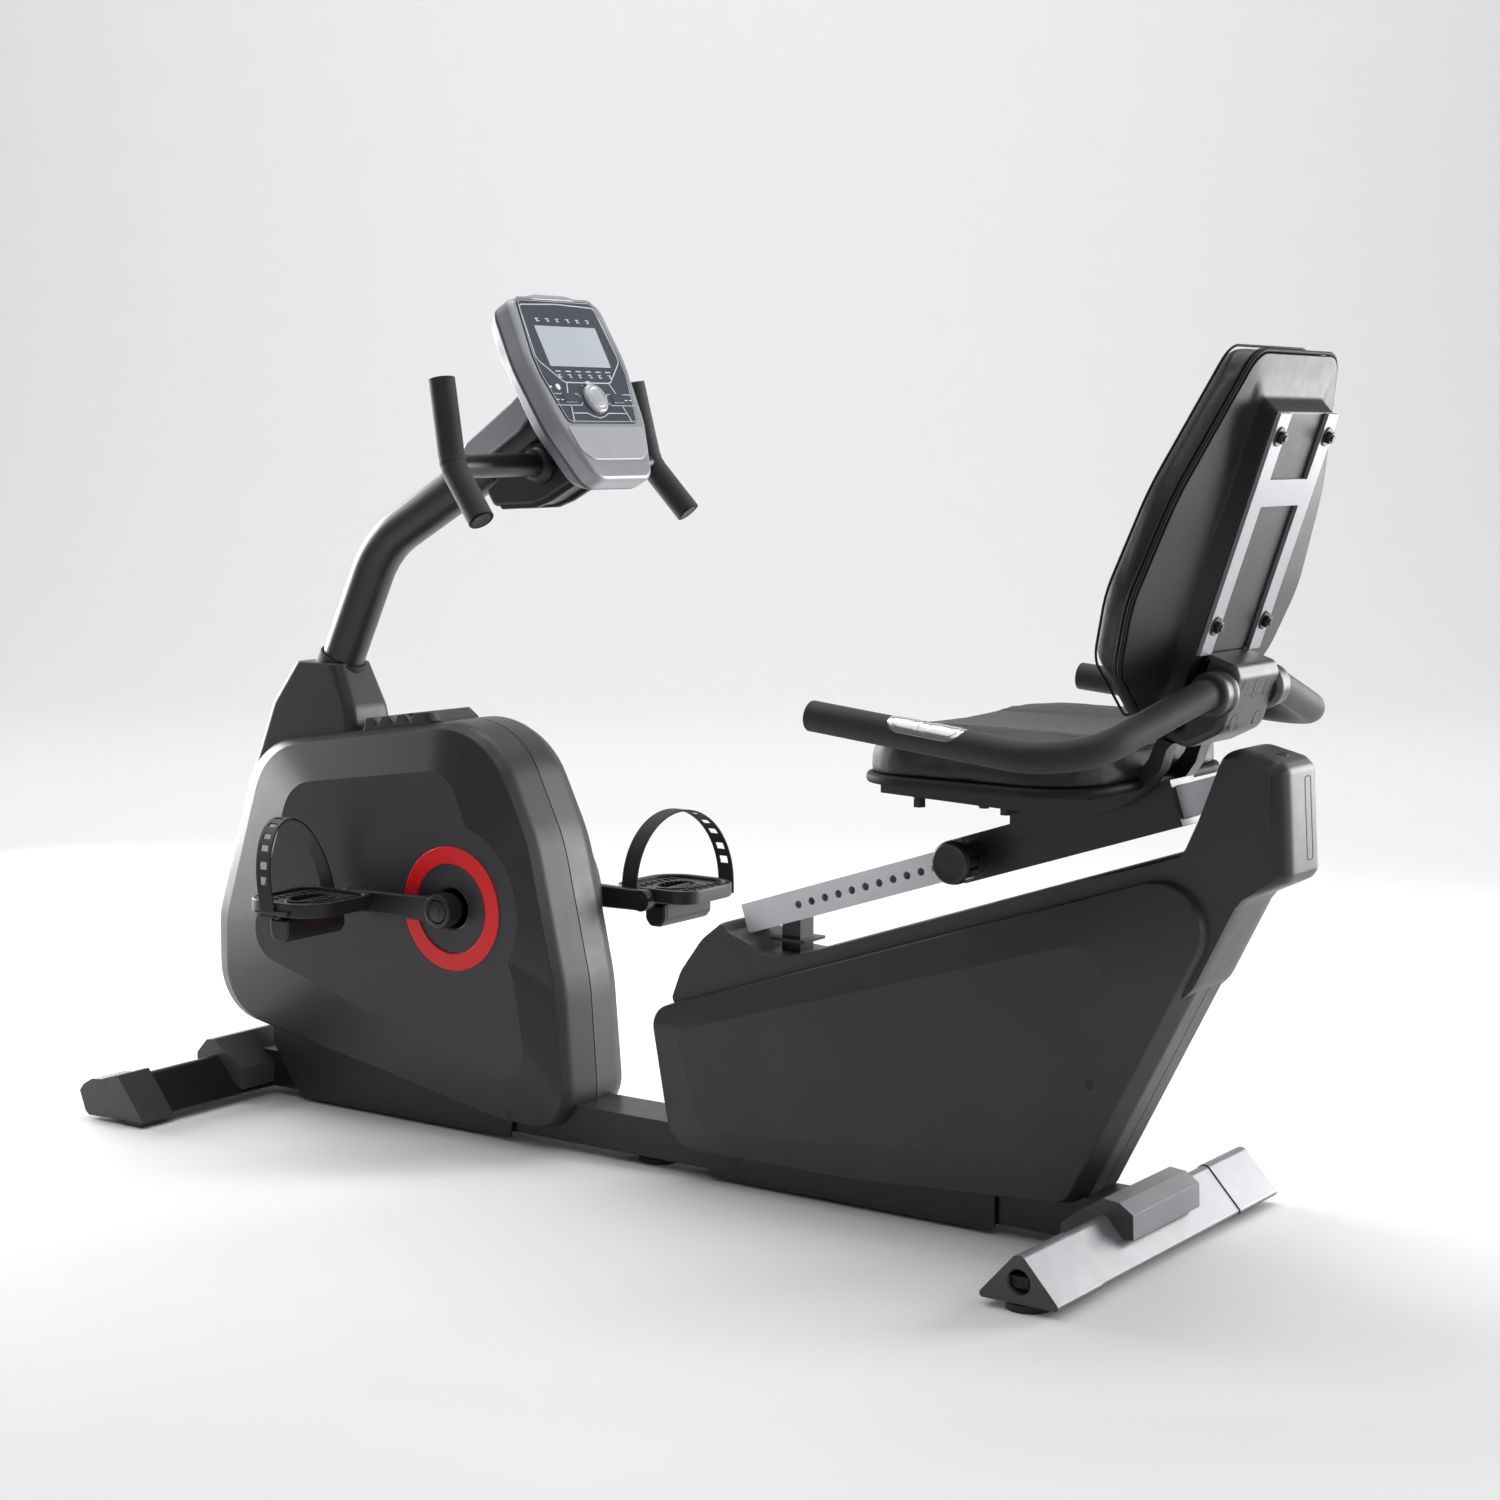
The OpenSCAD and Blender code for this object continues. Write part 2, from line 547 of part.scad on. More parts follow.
// Skew turns the strap back towards its outer end, and rake tips its arch forwards
module strap(x, skew, rake, off) translate([x + off, 0, crank[1] + 11])
    multmatrix([[1, -skew, -rake, 0], [0, 1, 0, 0], [0, 0, 1, 0], [0, 0, 0, 1]])
    rotate([90, 0, 90]) translate([0, 0, -13]) linear_extrude(26) difference() {
        intersection() {
            translate([-190, 0]) scale([1, 1.52]) circle(r = 70.5, $fn = 48);
            translate([-270, 4.2]) square([160, 120]);
        }
        translate([-190, 0]) scale([1, 1.53]) circle(r = 68, $fn = 48);
    }
module pedal_left() placed() color(dark) pedal(crank[0] - crank_length);
module strap_left() placed() color(black)
    strap(crank[0] - crank_length, 0.154, 0.25, -49);
module pedal_right() placed() color(dark) mirror([0, 1, 0]) pedal(crank[0] + crank_length);
module strap_right() placed() color(black) mirror([0, 1, 0])
    strap(crank[0] + crank_length, 0.46, 0, -86);
module flywheel() placed() color(steel) difference() {
    union() {
        yrod(fly[0], fly[1], flywheel_r, -40, -16, 128);
        yrod(fly[0], fly[1], 28, -46, 30, 64);
        yrod(fly[0], fly[1], 18, 29, 48, 64);
    }
    yrod(fly[0], fly[1], 8.05, -50, 50, 64);
}
module idler_wheel() placed() color(dark) difference() {
    yrod(idler[0], idler[1], 20, 31, 43, 64);
    yrod(idler[0], idler[1], 6.05, 30, 44, 48);
}
module magnet_bracket() placed() color(steel) difference() {
    union() {
        translate([fly[0], -17, fly[1]]) rotate([90, 0, 0]) rotate([0, 0, 75])
            rotate_extrude(angle = 70, $fn = 96) translate([125, 0]) square([6, 27]);
        yrod(pivot[0], pivot[1], 9, -44, -17, 32);
    }
    yrod(pivot[0], pivot[1], 4.05, -50, -10, 32);
}

// ---- Seat ----
module seat_sleeve() placed() color(charcoal) difference() {
    at_rail() difference() {
        union() {
            block(20, 321, -30, 30, -27.5, 27.5);
            translate([41.5, -29, 0]) rotate([90, 0, 0]) cylinder(r = 20, h = 16, $fn = 48);
        }
        block(19, 322, -20.2, 20.2, -19.2, 19.2);
        translate([41.5, 0, 0]) rotate([90, 0, 0]) cylinder(r = 4.55, h = 70, $fn = 32);
    }
}
module lock_knob() placed() color(black) at_rail() translate([41.5, 0, 0]) rotate([90, 0, 0]) {
    translate([0, 0, 21]) cylinder(r = 4.5, h = 43, $fn = 32);
    translate([0, 0, 59]) linear_extrude(26) difference() {
        circle(r = 27, $fn = 64);
        for (a = [0 : 30 : 330]) rotate(a) translate([29.5, 0]) circle(r = 4.5, $fn = 16);
    }
    translate([0, 0, 84]) cylinder(r = 20, h = 4, $fn = 48);
}
leg_outline = [[324, 527], [502, 520], [567, 518], [617, 523], [649, 535], [681, 557],
    [698, 581], [706, 605], [713, 611.7], [694.5, 618], [683, 592], [664, 569], [636, 554],
    [600, 548], [324, 548]];
seat_web = [[490, 480], [590, 520], [590, 548], [490, 548]];
module seat_bracket() placed() color(dark) difference() {
    union() {
        mirrored() difference() {
            slab(leg_outline, 33, 57);
            slab_off(leg_outline, -tube_wall, 33 + tube_wall, 57 - tube_wall);
        }
        difference() {
            slab(seat_web, -33, 33);
            slab_off(seat_web, -tube_wall, -30, 30);
        }
        block(350, 640, -120, 120, 548, 556.7);
        for (x = [372, 492]) mirrored() translate([x, 45, 512]) cylinder(r = 8, h = 10, $fn = 6);
    }
    at_rail() block(0, 400, -30, 30, -40, 27.5);
}
pad_plan = rounded([[362, -196], [676, -seat_half], [676, seat_half], [362, 196]],
    [72, 78, 78, 72], 8);
module seat_pad() placed() color(black) difference() {
    union() {
        translate([0, 0, 557]) linear_extrude(11) polygon(pad_plan);
        translate([0, 0, 567]) linear_extrude(42) offset(delta = -4) polygon(pad_plan);
        translate([0, 0, 608]) linear_extrude(16) offset(delta = -16) polygon(pad_plan);
        mirrored() block(420, 625, 95, 170, 620, 634);
    }
    mirrored() slab_off(leg_outline, 1, 32, 58);
    at_rail() block(19, 322, -31, 31, -28, 28);
}
back_outline_2 = rounded(both_sides([[66, -142], [190, -62], [214, 20], [190, 140], [106, 306]]),
    [34, 60, 90, 200, 40, 40, 200, 90, 60, 34], 5);
module back_taper(g) hull() {
    back_layer(-36 - g, -33, -g);
    at_back() block(-16, -5 - g, -80 + g, 80 - g, -122 + g, 250 - g);
    at_back() block(-30 - g, -26, -60 + g, 60 - g, 250, 296 - g);
}
module back_layer(n0, n1, g) at_back() translate([n0, 0, 0]) rotate([90, 0, 90])
    linear_extrude(n1 - n0) offset(delta = g) polygon(back_outline_2);
module back_pad() placed() color(black) {
    back_layer(-76, -36.3, -2);
    back_layer(-88, -76, -26);
}
module at_bolts() for (y = [-63, 63]) for (s = [0, 220]) at_back() translate([0, y, s])
    rotate([0, 90, 0]) children();
module back_shell() placed() color(dark) difference() {
    union() {
        difference() {
            back_taper(0);
            back_taper(cover_t);
        }
        at_bolts() translate([0, 0, -36]) cylinder(r = 12, h = 30, $fn = 32);
    }
    at_bolts() translate([0, 0, -40]) cylinder(r = 4, h = 50, $fn = 32);
    at_back() block(-28, -4, -59, 59, -150, -125);
}
module back_frame() placed() color(steel) difference() {
    union() {
        at_back() mirrored() block(-5, 0, 49, 77, -35, 246);
        at_back() block(-5, 0, -50, 50, 139, 170);
    }
    at_bolts() translate([0, 0, -10]) cylinder(r = 4, h = 20, $fn = 32);
}
module bar_clamp() placed() color(steel) difference() {
    at_back() union() {
        slab([[-5, -35], [34, -35], [43, -46], [43, -112], [10, -145], [-26, -145], [-26, -127],
            [-5, -127]], -57, 57);
        yrod(25.6, -70.5, 25, -85, 85, 48);
    }
    at_back() {
        yrod(25.6, -70.5, seat_bar_d / 2 + 0.15, -90, 90, 64);
        for (y = [-29, 0, 29]) translate([34, y, -66]) rotate([0, 90, 0])
            cylinder(r = y == 0 ? 6 : 8, h = 20, $fn = 32);
        for (y = [-30, 30]) translate([20, y, -116]) rotate([0, 90, 0])
            cylinder(r = 7, h = 30, $fn = 32);
    }
}
// Both arms of the bar start at x = start and run back, in and up to the clamp
function bar_path(start) = bent([[start, -312, 646], [729.5, -322, 613], [767.4, -96, 672],
    [767.4, 96, 672], [729.5, 322, 613], [start, 312, 646]], [90, 60, 60, 90], 8);
module seat_bar() placed() color(black) difference() {
    sweep(bar_path(396), seat_bar_d / 2, ref = [0, 0, 1], k = 24);
    sweep(bar_path(400), seat_bar_d / 2 - tube_wall, ref = [0, 0, 1], k = 16);
}
module pulse_plates() placed() color(silver) mirrored() for (x = [508, 556])
    translate([x, -312 - (x - 396) * 10 / 333.5, 646 - (x - 396) * 33 / 333.5])
    rotate([0, 5.65, 0]) rotate([0, 0, -1.71]) difference() {
        rotate([0, 90, 0]) cylinder(r = seat_bar_d / 2 + 1.2, h = 38, $fn = 48);
        translate([-1, 0, 0]) rotate([0, 90, 0]) cylinder(r = seat_bar_d / 2 + 0.1, h = 40, $fn = 48);
        translate([-1, -30, -30]) cube([40, 60, 26]);
    }
module seat_bolts() placed() color(black) {
    at_bolts() translate([0, 0, -30]) cylinder(r = 4, h = 30, $fn = 32);
    at_bolts() cylinder(r = 8, h = 6, $fn = 32);
}

// ---- Transport wheels and levelling feet ----
module wheel(side) placed() color(black) {
    yrod(-832, 27, 22, side < 0 ? -275 : 253, side < 0 ? -253 : 275, 48);
    yrod(-832, 27, 3.96, side < 0 ? -286 : 246, side < 0 ? -246 : 286, 32);
}
module wheel_left() wheel(-1);
module wheel_right() wheel(1);
module level_foot(y) placed() color(black) translate([rear_x, y, 0]) {
    cylinder(r = 27, h = 8.5, $fn = 48);
    translate([0, 0, 8]) cylinder(r = 5, h = 44, $fn = 32);
    translate([0, 0, 27]) linear_extrude(13) difference() {
        circle(r = 22, $fn = 64);
        for (a = [0 : 15 : 345]) rotate(a) translate([22.6, 0]) circle(r = 1.6, $fn = 12);
    }
}
module level_foot_left() level_foot(-256);
module level_foot_right() level_foot(256);

main_beam();
front_mast();
drive_frame();
front_stabilizer();
rear_stabilizer();
frame_bolts();
saddle_covers();
end_caps();
mid_foot();
front_cover_left();
front_cover_right();
ring_trims();
top_tray();
post_collar();
console_post();
console_bar();
console_grips();
console_clamp();
neck_cover();
console_front();
console_back();
faceplate();
circuit_board();
rear_cover_left();
rear_cover_right();
tower_cover();
seat_rail();
crank_bearings();
flywheel_axle();
drive_belt();
brake_servo();
power_inlet();
crank_axle();
crank_pulley();
crank_arms();
pedal_left();
strap_left();
pedal_right();
strap_right();
flywheel();
idler_wheel();
magnet_bracket();
seat_sleeve();
seat_bracket();
seat_pad();
back_pad();
back_shell();
back_frame();
bar_clamp();
seat_bar();
pulse_plates();
seat_bolts();
lock_knob();
dial();
key_left();
key_right();
wheel_left();
wheel_right();
level_foot_left();
level_foot_right();
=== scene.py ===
import math
import bpy
import bmesh
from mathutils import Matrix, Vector
from mathutils.bvhtree import BVHTree


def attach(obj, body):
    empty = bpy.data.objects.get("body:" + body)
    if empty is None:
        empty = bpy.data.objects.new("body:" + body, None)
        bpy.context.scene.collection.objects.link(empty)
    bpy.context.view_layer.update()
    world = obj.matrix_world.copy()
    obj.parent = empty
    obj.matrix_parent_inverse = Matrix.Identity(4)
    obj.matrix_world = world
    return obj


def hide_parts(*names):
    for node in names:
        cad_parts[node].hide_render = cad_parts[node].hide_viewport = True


# Recumbent exercise bike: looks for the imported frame. Shapes are in millimetres in the
# frame's own axes before the 6 mm origin shift, and W() turns them into metres. A name for one
# side or height goes with the axes: x to the rear, y to the rider's right, z up.
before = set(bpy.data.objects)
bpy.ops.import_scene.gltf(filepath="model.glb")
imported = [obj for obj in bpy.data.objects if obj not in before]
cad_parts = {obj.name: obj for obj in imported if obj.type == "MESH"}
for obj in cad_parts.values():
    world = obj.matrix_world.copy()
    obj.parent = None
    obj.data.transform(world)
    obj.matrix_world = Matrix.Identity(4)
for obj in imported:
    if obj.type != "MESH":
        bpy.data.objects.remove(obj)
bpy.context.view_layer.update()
SHIFT = 6.0
TINY = 1e-7
V = Vector


def W(x, y, z):
    """The frame's own millimetres to world metres."""
    return V(((x + SHIFT) / 1000, y / 1000, z / 1000))


# ---------------------------------------------------------------- shape helpers
def fillet(a, b, c, r, n=6):
    """The n + 1 points of an arc of radius r that rounds the corner b between a and c."""
    a, b, c = V(a), V(b), V(c)
    u, w = (a - b).normalized(), (c - b).normalized()
    h = math.acos(max(-1, min(1, u.dot(w)))) / 2
    if r <= 0 or h > 1.5698:
        return [b.copy() for _ in range(n + 1)]
    t = min(r / math.tan(h), (a - b).length * 0.495, (c - b).length * 0.495)
    r = t * math.tan(h)
    o = b + (u + w).normalized() * (r / math.sin(h))
    s, e, g = b + u * t - o, b + w * t - o, math.pi - 2 * h
    return [o + (s * math.sin(g * (1 - i / n)) + e * math.sin(g * i / n)) / math.sin(g)
            for i in range(n + 1)]


def rounded(p, r, n=8):
    """A closed outline with every corner rounded, by one radius or by a list of them."""
    k = len(p)
    r = r if isinstance(r, (list, tuple)) else [r] * k
    out = []
    for i in range(k):
        out += fillet(p[i - 1], p[i], p[(i + 1) % k], r[i], n)
    return out


def bent(p, r, n=10):
    """An open path with its inner corners rounded by the radii r."""
    out = [V(p[0])]
    for i in range(1, len(p) - 1):
        out += fillet(p[i - 1], p[i], p[i + 1], r[i - 1], n)
    return out + [V(p[-1])]


def dense(p, step, closed=True):
    """Divides the sides of an outline so that none is longer than step."""
    out = []
    k = len(p)
    for i in range(k if closed else k - 1):
        a, b = V(p[i]), V(p[(i + 1) % k])
        d = (b - a).length
        if d < 1e-6:
            continue
        m = max(1, math.ceil(d / step))
        out += [a.lerp(b, j / m) for j in range(m)]
    if not closed:
        out.append(V(p[-1]))
    return out


def circle(r, n, c=(0, 0)):
    """n points of a circle; six of them make a hexagon."""
    return [V((c[0] + r * math.cos(2 * math.pi * i / n), c[1] + r * math.sin(2 * math.pi * i / n)))
            for i in range(n)]


def step(v, at, width):
    """Goes smoothly from 0 to 1 where v passes at; a negative width turns it round."""
    return 1 / (1 + math.exp(-(v - at) / width))


def bell(v, at, width):
    return math.exp(-((v - at) / width) ** 2)


def mirror2(h):
    """Completes the right half of an outline with its mirror image."""
    return list(h) + [(-x, z) for x, z in reversed(h)]


def inset(p, d, least=0.5):
    """Moves a closed outline inwards by d, which is one distance or a list, one for each point."""
    k = len(p)
    ds = d if isinstance(d, list) else [d] * k
    area = sum(p[i - 1][0] * p[i][1] - p[i][0] * p[i - 1][1] for i in range(k))
    turn = 1 if area > 0 else -1
    out = []
    for i in range(k):
        a, b = p[i] - p[i - 1], p[(i + 1) % k] - p[i]
        a = a.normalized() if a.length > TINY else b.normalized()
        b = b.normalized() if b.length > TINY else a
        na, nb = V((-a.y, a.x)) * turn, V((-b.y, b.x)) * turn
        m = na + nb
        m = m.normalized() if m.length > 1e-6 else na
        out.append(p[i] + m * (ds[i] / max(least, m.dot(na))))
    return out


def radial(poly, c, ang):
    """Where the ray from c at the angle ang leaves the outline."""
    dx, dy = math.cos(ang), math.sin(ang)
    best = 0
    k = len(poly)
    for i in range(k):
        ax, ay = poly[i - 1][0] - c[0], poly[i - 1][1] - c[1]
        bx, by = poly[i][0] - c[0], poly[i][1] - c[1]
        den = dx * (by - ay) - dy * (bx - ax)
        if abs(den) < 1e-9:
            continue
        t = (ax * (by - ay) - ay * (bx - ax)) / den
        s = (ax * dy - ay * dx) / den
        if t > best and -1e-6 <= s <= 1 + 1e-6:
            best = t
    return V((c[0] + dx * best, c[1] + dy * best))


def follow(ref, poly, c):
    """The outline poly, resampled at the angles that the points of ref have round c."""
    return [radial(poly, c, math.atan2(q[1] - c[1], q[0] - c[0])) for q in ref]


def applied(ob):
    """Bakes the modifiers of ob into its mesh."""
    dg = bpy.context.evaluated_depsgraph_get()
    new = bpy.data.meshes.new_from_object(ob.evaluated_get(dg))
    ob.modifiers.clear()
    ob.data = new
    return ob


def finish_piece(ob, mats, body, nodes=(), angle=35, mat_of=None, flat=True):
    """Cleans and shades a mesh, gives it its materials and hands it to the frame."""
    me = ob.data
    bm = bmesh.new()
    bm.from_mesh(me)
    bmesh.ops.remove_doubles(bm, verts=bm.verts, dist=2e-6)
    bmesh.ops.dissolve_degenerate(bm, edges=bm.edges, dist=1e-6)
    bmesh.ops.recalc_face_normals(bm, faces=bm.faces)
    lim = math.radians(angle)
    for f in bm.faces:
        f.smooth = True
    for e in bm.edges:
        e.smooth = not (len(e.link_faces) == 2 and e.calc_face_angle(0) > lim)
    bm.to_mesh(me)
    bm.free()
    if flat:
        mod = ob.modifiers.new("flat faces stay flat", "WEIGHTED_NORMAL")
        mod.keep_sharp = True
        mod.weight = 80
        applied(ob)
        me = ob.data
    me.materials.clear()
    for m in (mats if isinstance(mats, (list, tuple)) else [mats]):
        me.materials.append(m)
    if mat_of:
        for p in me.polygons:
            p.material_index = mat_of(p)
    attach(ob, body)
    if nodes:
        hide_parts(*nodes)
    return ob


class Shape:
    """Collects rings and loose solids into one mesh."""

    def __init__(self):
        self.v, self.f, self.m = [], [], []

    def add(self, verts, faces, m=0):
        o = len(self.v)
        self.v += [V(p) for p in verts]
        self.f += [[i + o for i in f] for f in faces]
        self.m += [m] * len(faces)

    def loft(self, rings, cap0=True, cap1=True, closed=True, m=0):
        k = len(rings[0])
        verts = [p for r in rings for p in r]
        faces = []
        for a in range(len(rings) - 1):
            for j in range(k if closed else k - 1):
                j2 = (j + 1) % k
                faces.append([a * k + j, (a + 1) * k + j, (a + 1) * k + j2, a * k + j2])
        if cap0:
            faces.append(list(range(k)))
        if cap1:
            faces.append([(len(rings) - 1) * k + j for j in reversed(range(k))])
        self.add(verts, faces, m)

    def plate(self, poly, a0, a1, r, tf, n=4, m=0, r0=None):
        """A closed outline pulled from a0 to a1 with edges rounded by r (r0 at the a0 end)."""
        r0 = r if r0 is None else r0
        rings = []
        sgn = 1 if a1 > a0 else -1
        for i in range(n + 1):
            t = math.pi / 2 * i / n
            q = inset(poly, r0 * (1 - math.sin(t)))
            rings.append([tf(p[0], p[1], a0 + sgn * r0 * (1 - math.cos(t))) for p in q])
        for i in range(n + 1):
            t = math.pi / 2 * i / n
            q = inset(poly, r * (1 - math.cos(t)))
            rings.append([tf(p[0], p[1], a1 - sgn * r * (1 - math.sin(t))) for p in q])
        self.loft(rings, m=m)

    def tube(self, path, radius, ref=(0, 1, 0), sides=32, edge=2.0):
        """A round bar along path with softened ends; radius is a number or a function of i."""
        ref = V(ref)
        last = len(path) - 1
        tang = [(path[min(i + 1, last)] - path[max(i - 1, 0)]).normalized()
                for i in range(last + 1)]
        rad = radius if callable(radius) else (lambda i: radius)

        def ring(c, t, r):
            a = (ref - t * ref.dot(t)).normalized()
            b = t.cross(a)
            return [W(*(c + (a * math.cos(2 * math.pi * j / sides)
                             + b * math.sin(2 * math.pi * j / sides)) * r))
                    for j in range(sides)]

        def rim(i, way, a):
            """The ring at the share a of the rounding of end i, drawn in along way."""
            drop = edge * (1 - math.sin(a * math.pi / 2))
            return ring(path[i] + tang[i] * way * drop, tang[i],
                        rad(i) - edge * (1 - math.cos((1 - a) * math.pi / 2)))
        shares = (0.05, 0.4, 0.75, 1.0)
        self.loft([rim(0, 1, a) for a in shares]
                  + [ring(path[i], tang[i], rad(i)) for i in range(1, last)]
                  + [rim(last, -1, a) for a in reversed(shares)])

    def turned(self, profile, tf, sides=48, m=0):
        """profile is (radius, height) points, tf takes (x, y, height) about the axis."""
        turn = [2 * math.pi * j / sides for j in range(sides)]
        self.loft([[tf(r * math.cos(a), r * math.sin(a), h) for a in turn] for r, h in profile],
                  m=m)

    def box(self, c, s, tf=W, r=1.0, m=0):
        """A block of the sizes s about c, its edges rounded by r."""
        x, y = s[0] / 2, s[1] / 2
        r = min(r, x * 0.49, y * 0.49, s[2] * 0.49)
        poly = rounded([(-x, -y), (x, -y), (x, y), (-x, y)], r * 1.2, 3)
        self.plate(poly, -s[2] / 2, s[2] / 2, r,
                   lambda a, b, h: tf(c[0] + a, c[1] + b, c[2] + h), n=2, m=m)

    def ribbon(self, pts, w, tf, h0, h1, closed=False, m=0):
        """A flat band of width w along pts, from the height h0 to h1."""
        pts = [V(p) for p in pts]
        k = len(pts)
        left, right = [], []
        for i in range(k):
            a = pts[i] - pts[i - 1] if (i or closed) else pts[1] - pts[0]
            b = pts[(i + 1) % k] - pts[i] if (i < k - 1 or closed) else a
            a = a.normalized() if a.length > 1e-6 else b.normalized()
            b = b.normalized() if b.length > 1e-6 else a
            t = (a + b).normalized()
            nrm = V((-t.y, t.x)) * (w / 2 / max(0.6, t.dot(a)))
            left.append(pts[i] + nrm)
            right.append(pts[i] - nrm)
        rings = [[tf(l.x, l.y, h0), tf(l.x, l.y, h1), tf(q.x, q.y, h1), tf(q.x, q.y, h0)]
                 for l, q in zip(left, right)]
        if closed:
            rings.append(rings[0])
        self.loft(rings, cap0=not closed, cap1=not closed, m=m)

    def piece(self, name, mats, body, nodes=(), angle=35):
        me = bpy.data.meshes.new(name)
        me.from_pydata([tuple(v) for v in self.v], [], self.f)
        for p in me.polygons:
            p.material_index = self.m[p.index]
        ob = bpy.data.objects.new(name, me)
        bpy.context.scene.collection.objects.link(ob)
        return finish_piece(ob, mats, body, nodes, angle)


def XZ(x, z, y):
    """W for an outline drawn in the side view, pulled along y."""
    return W(x, y, z)


def frame_tf(origin, ex, ey, ez):
    """A transform like W for a tilted local frame."""
    o, ex, ey, ez = V(origin), V(ex), V(ey), V(ez)
    return lambda a, b, c: W(*(o + ex * a + ey * b + ez * c))


CT, BT, RT = math.radians(27.5), math.radians(18.84), math.radians(18)
BACK_AT = (766, 0, 747)
CON = frame_tf((-197, 0, 1072), (0, 1, 0), (-math.sin(CT), 0, math.cos(CT)),
               (math.cos(CT), 0, math.sin(CT)))
BACK = frame_tf(BACK_AT, (0, 1, 0), (math.sin(BT), 0, math.cos(BT)),
                (math.cos(BT), 0, -math.sin(BT)))
RAIL = frame_tf((400, 0, 441.6), (math.cos(RT), 0, math.sin(RT)), (0, 1, 0),
                (-math.sin(RT), 0, math.cos(RT)))


# ---------------------------------------------------------------- materials
def mat(name, base, rough, metal=0.0, grain=900, bump=0.12, vary=0.08, spec=0.5, coat=0.0,
        coat_rough=0.2, kind="noise", dist=0.0002, sheen=0.0):
    """A procedural material: mottled colour, uneven roughness and a fine grain in the normal."""
    m = bpy.data.materials.new(name)
    m.use_nodes = True
    nt = m.node_tree
    ns, ln = nt.nodes, nt.links
    b = ns["Principled BSDF"]
    for socket, value in (("Metallic", metal), ("Specular IOR Level", spec),
                          ("Coat Weight", coat), ("Coat Roughness", coat_rough),
                          ("Sheen Weight", sheen)):
        b.inputs[socket].default_value = value
    place = ns.new("ShaderNodeTexCoord").outputs["Object"]

    def noise(scale, detail, source):
        no = ns.new("ShaderNodeTexNoise")
        no.inputs["Scale"].default_value = scale
        no.inputs["Detail"].default_value = detail
        ln.new(source, no.inputs["Vector"])
        return no.outputs["Fac"]
    ramp = ns.new("ShaderNodeValToRGB")
    low, high = ramp.color_ramp.elements
    low.position, high.position = 0.3, 0.7
    low.color = (*[c * (1 - vary) for c in base], 1)
    high.color = (*[min(1, c * (1 + vary)) for c in base], 1)
    ln.new(noise(9, 4, place), ramp.inputs["Fac"])
    ln.new(ramp.outputs["Color"], b.inputs["Base Color"])
    rr = ns.new("ShaderNodeMapRange")
    rr.inputs["To Min"].default_value = max(0.02, rough - ROUGH_SPREAD)
    rr.inputs["To Max"].default_value = min(1, rough + ROUGH_SPREAD)
    ln.new(noise(60, 3, place), rr.inputs["Value"])
    ln.new(rr.outputs["Result"], b.inputs["Roughness"])
    if kind == "leather":
        vo = ns.new("ShaderNodeTexVoronoi")
        vo.feature = "DISTANCE_TO_EDGE"
        vo.inputs["Scale"].default_value = grain
        ln.new(place, vo.inputs["Vector"])
        mr = ns.new("ShaderNodeMapRange")
        mr.inputs["From Max"].default_value = 0.12
        ln.new(vo.outputs["Distance"], mr.inputs["Value"])
        height = mr.outputs["Result"]
    elif kind == "brushed":
        mp = ns.new("ShaderNodeMapping")
        mp.inputs["Scale"].default_value = (8, 1, 1)
        ln.new(place, mp.inputs["Vector"])
        height = noise(grain, 2, mp.outputs["Vector"])
    else:
        height = noise(grain, 3, place)
    bp = ns.new("ShaderNodeBump")
    bp.inputs["Strength"].default_value = bump
    bp.inputs["Distance"].default_value = dist
    ln.new(height, bp.inputs["Height"])
    ln.new(bp.outputs["Normal"], b.inputs["Normal"])
    return m


ROUGH_SPREAD = 0.06
M = {}
M["cover"] = mat("charcoal_cover", (0.034, 0.0335, 0.039), 0.42, grain=1500, bump=0.25)
M["cover2"] = mat("dark_cover", (0.018, 0.018, 0.021), 0.46, grain=1500, bump=0.25)
M["dark"] = mat("dark_plastic", (0.017, 0.017, 0.019), 0.42, grain=1300, bump=0.2)
M["black"] = mat("black_paint", (0.014, 0.014, 0.016), 0.36, grain=500, bump=0.05)
M["post"] = mat("post_paint", (0.026, 0.026, 0.030), 0.34, grain=450, bump=0.06)
M["grey"] = mat("grey_paint", (0.20, 0.20, 0.215), 0.38, metal=0.15, grain=450, bump=0.05)
M["rail"] = mat("rail_paint", (0.80, 0.80, 0.83), 0.34, metal=0.1, grain=500, bump=0.04)
M["steel"] = mat("machined_steel", (0.55, 0.55, 0.57), 0.28, metal=1.0, grain=300,
                 bump=0.08, kind="brushed")
M["iron"] = mat("flywheel_iron", (0.30, 0.30, 0.31), 0.4, metal=0.9, grain=400, bump=0.1)
M["silver"] = mat("silver_plastic", (0.36, 0.365, 0.385), 0.36, metal=0.25, grain=1200,
                  bump=0.1)
M["silver2"] = mat("pale_silver", (0.50, 0.505, 0.53), 0.33, metal=0.25, grain=1200, bump=0.08)
M["conback"] = mat("console_back", (0.10, 0.10, 0.115), 0.45, grain=1300, bump=0.15)
M["face"] = mat("face_panel", (0.060, 0.070, 0.088), 0.30, grain=800, bump=0.03, coat=0.3)
M["lcd"] = mat("lcd_glass", (0.52, 0.56, 0.60), 0.12, grain=300, bump=0.0, coat=0.6,
               coat_rough=0.05, vary=0.03)
M["print"] = mat("print_white", (0.62, 0.65, 0.68), 0.45, bump=0.0)
M["icon"] = mat("print_grey", (0.30, 0.33, 0.36), 0.45, bump=0.0)
M["red"] = mat("red_plastic", (0.86, 0.0, 0.006), 0.32, bump=0.04, vary=0.02)
M["redprint"] = mat("print_red", (0.55, 0.02, 0.03), 0.45, bump=0.0)
M["lamp"] = mat("lamp_lens", (0.9, 0.9, 0.9), 0.2, bump=0.0, coat=0.5)
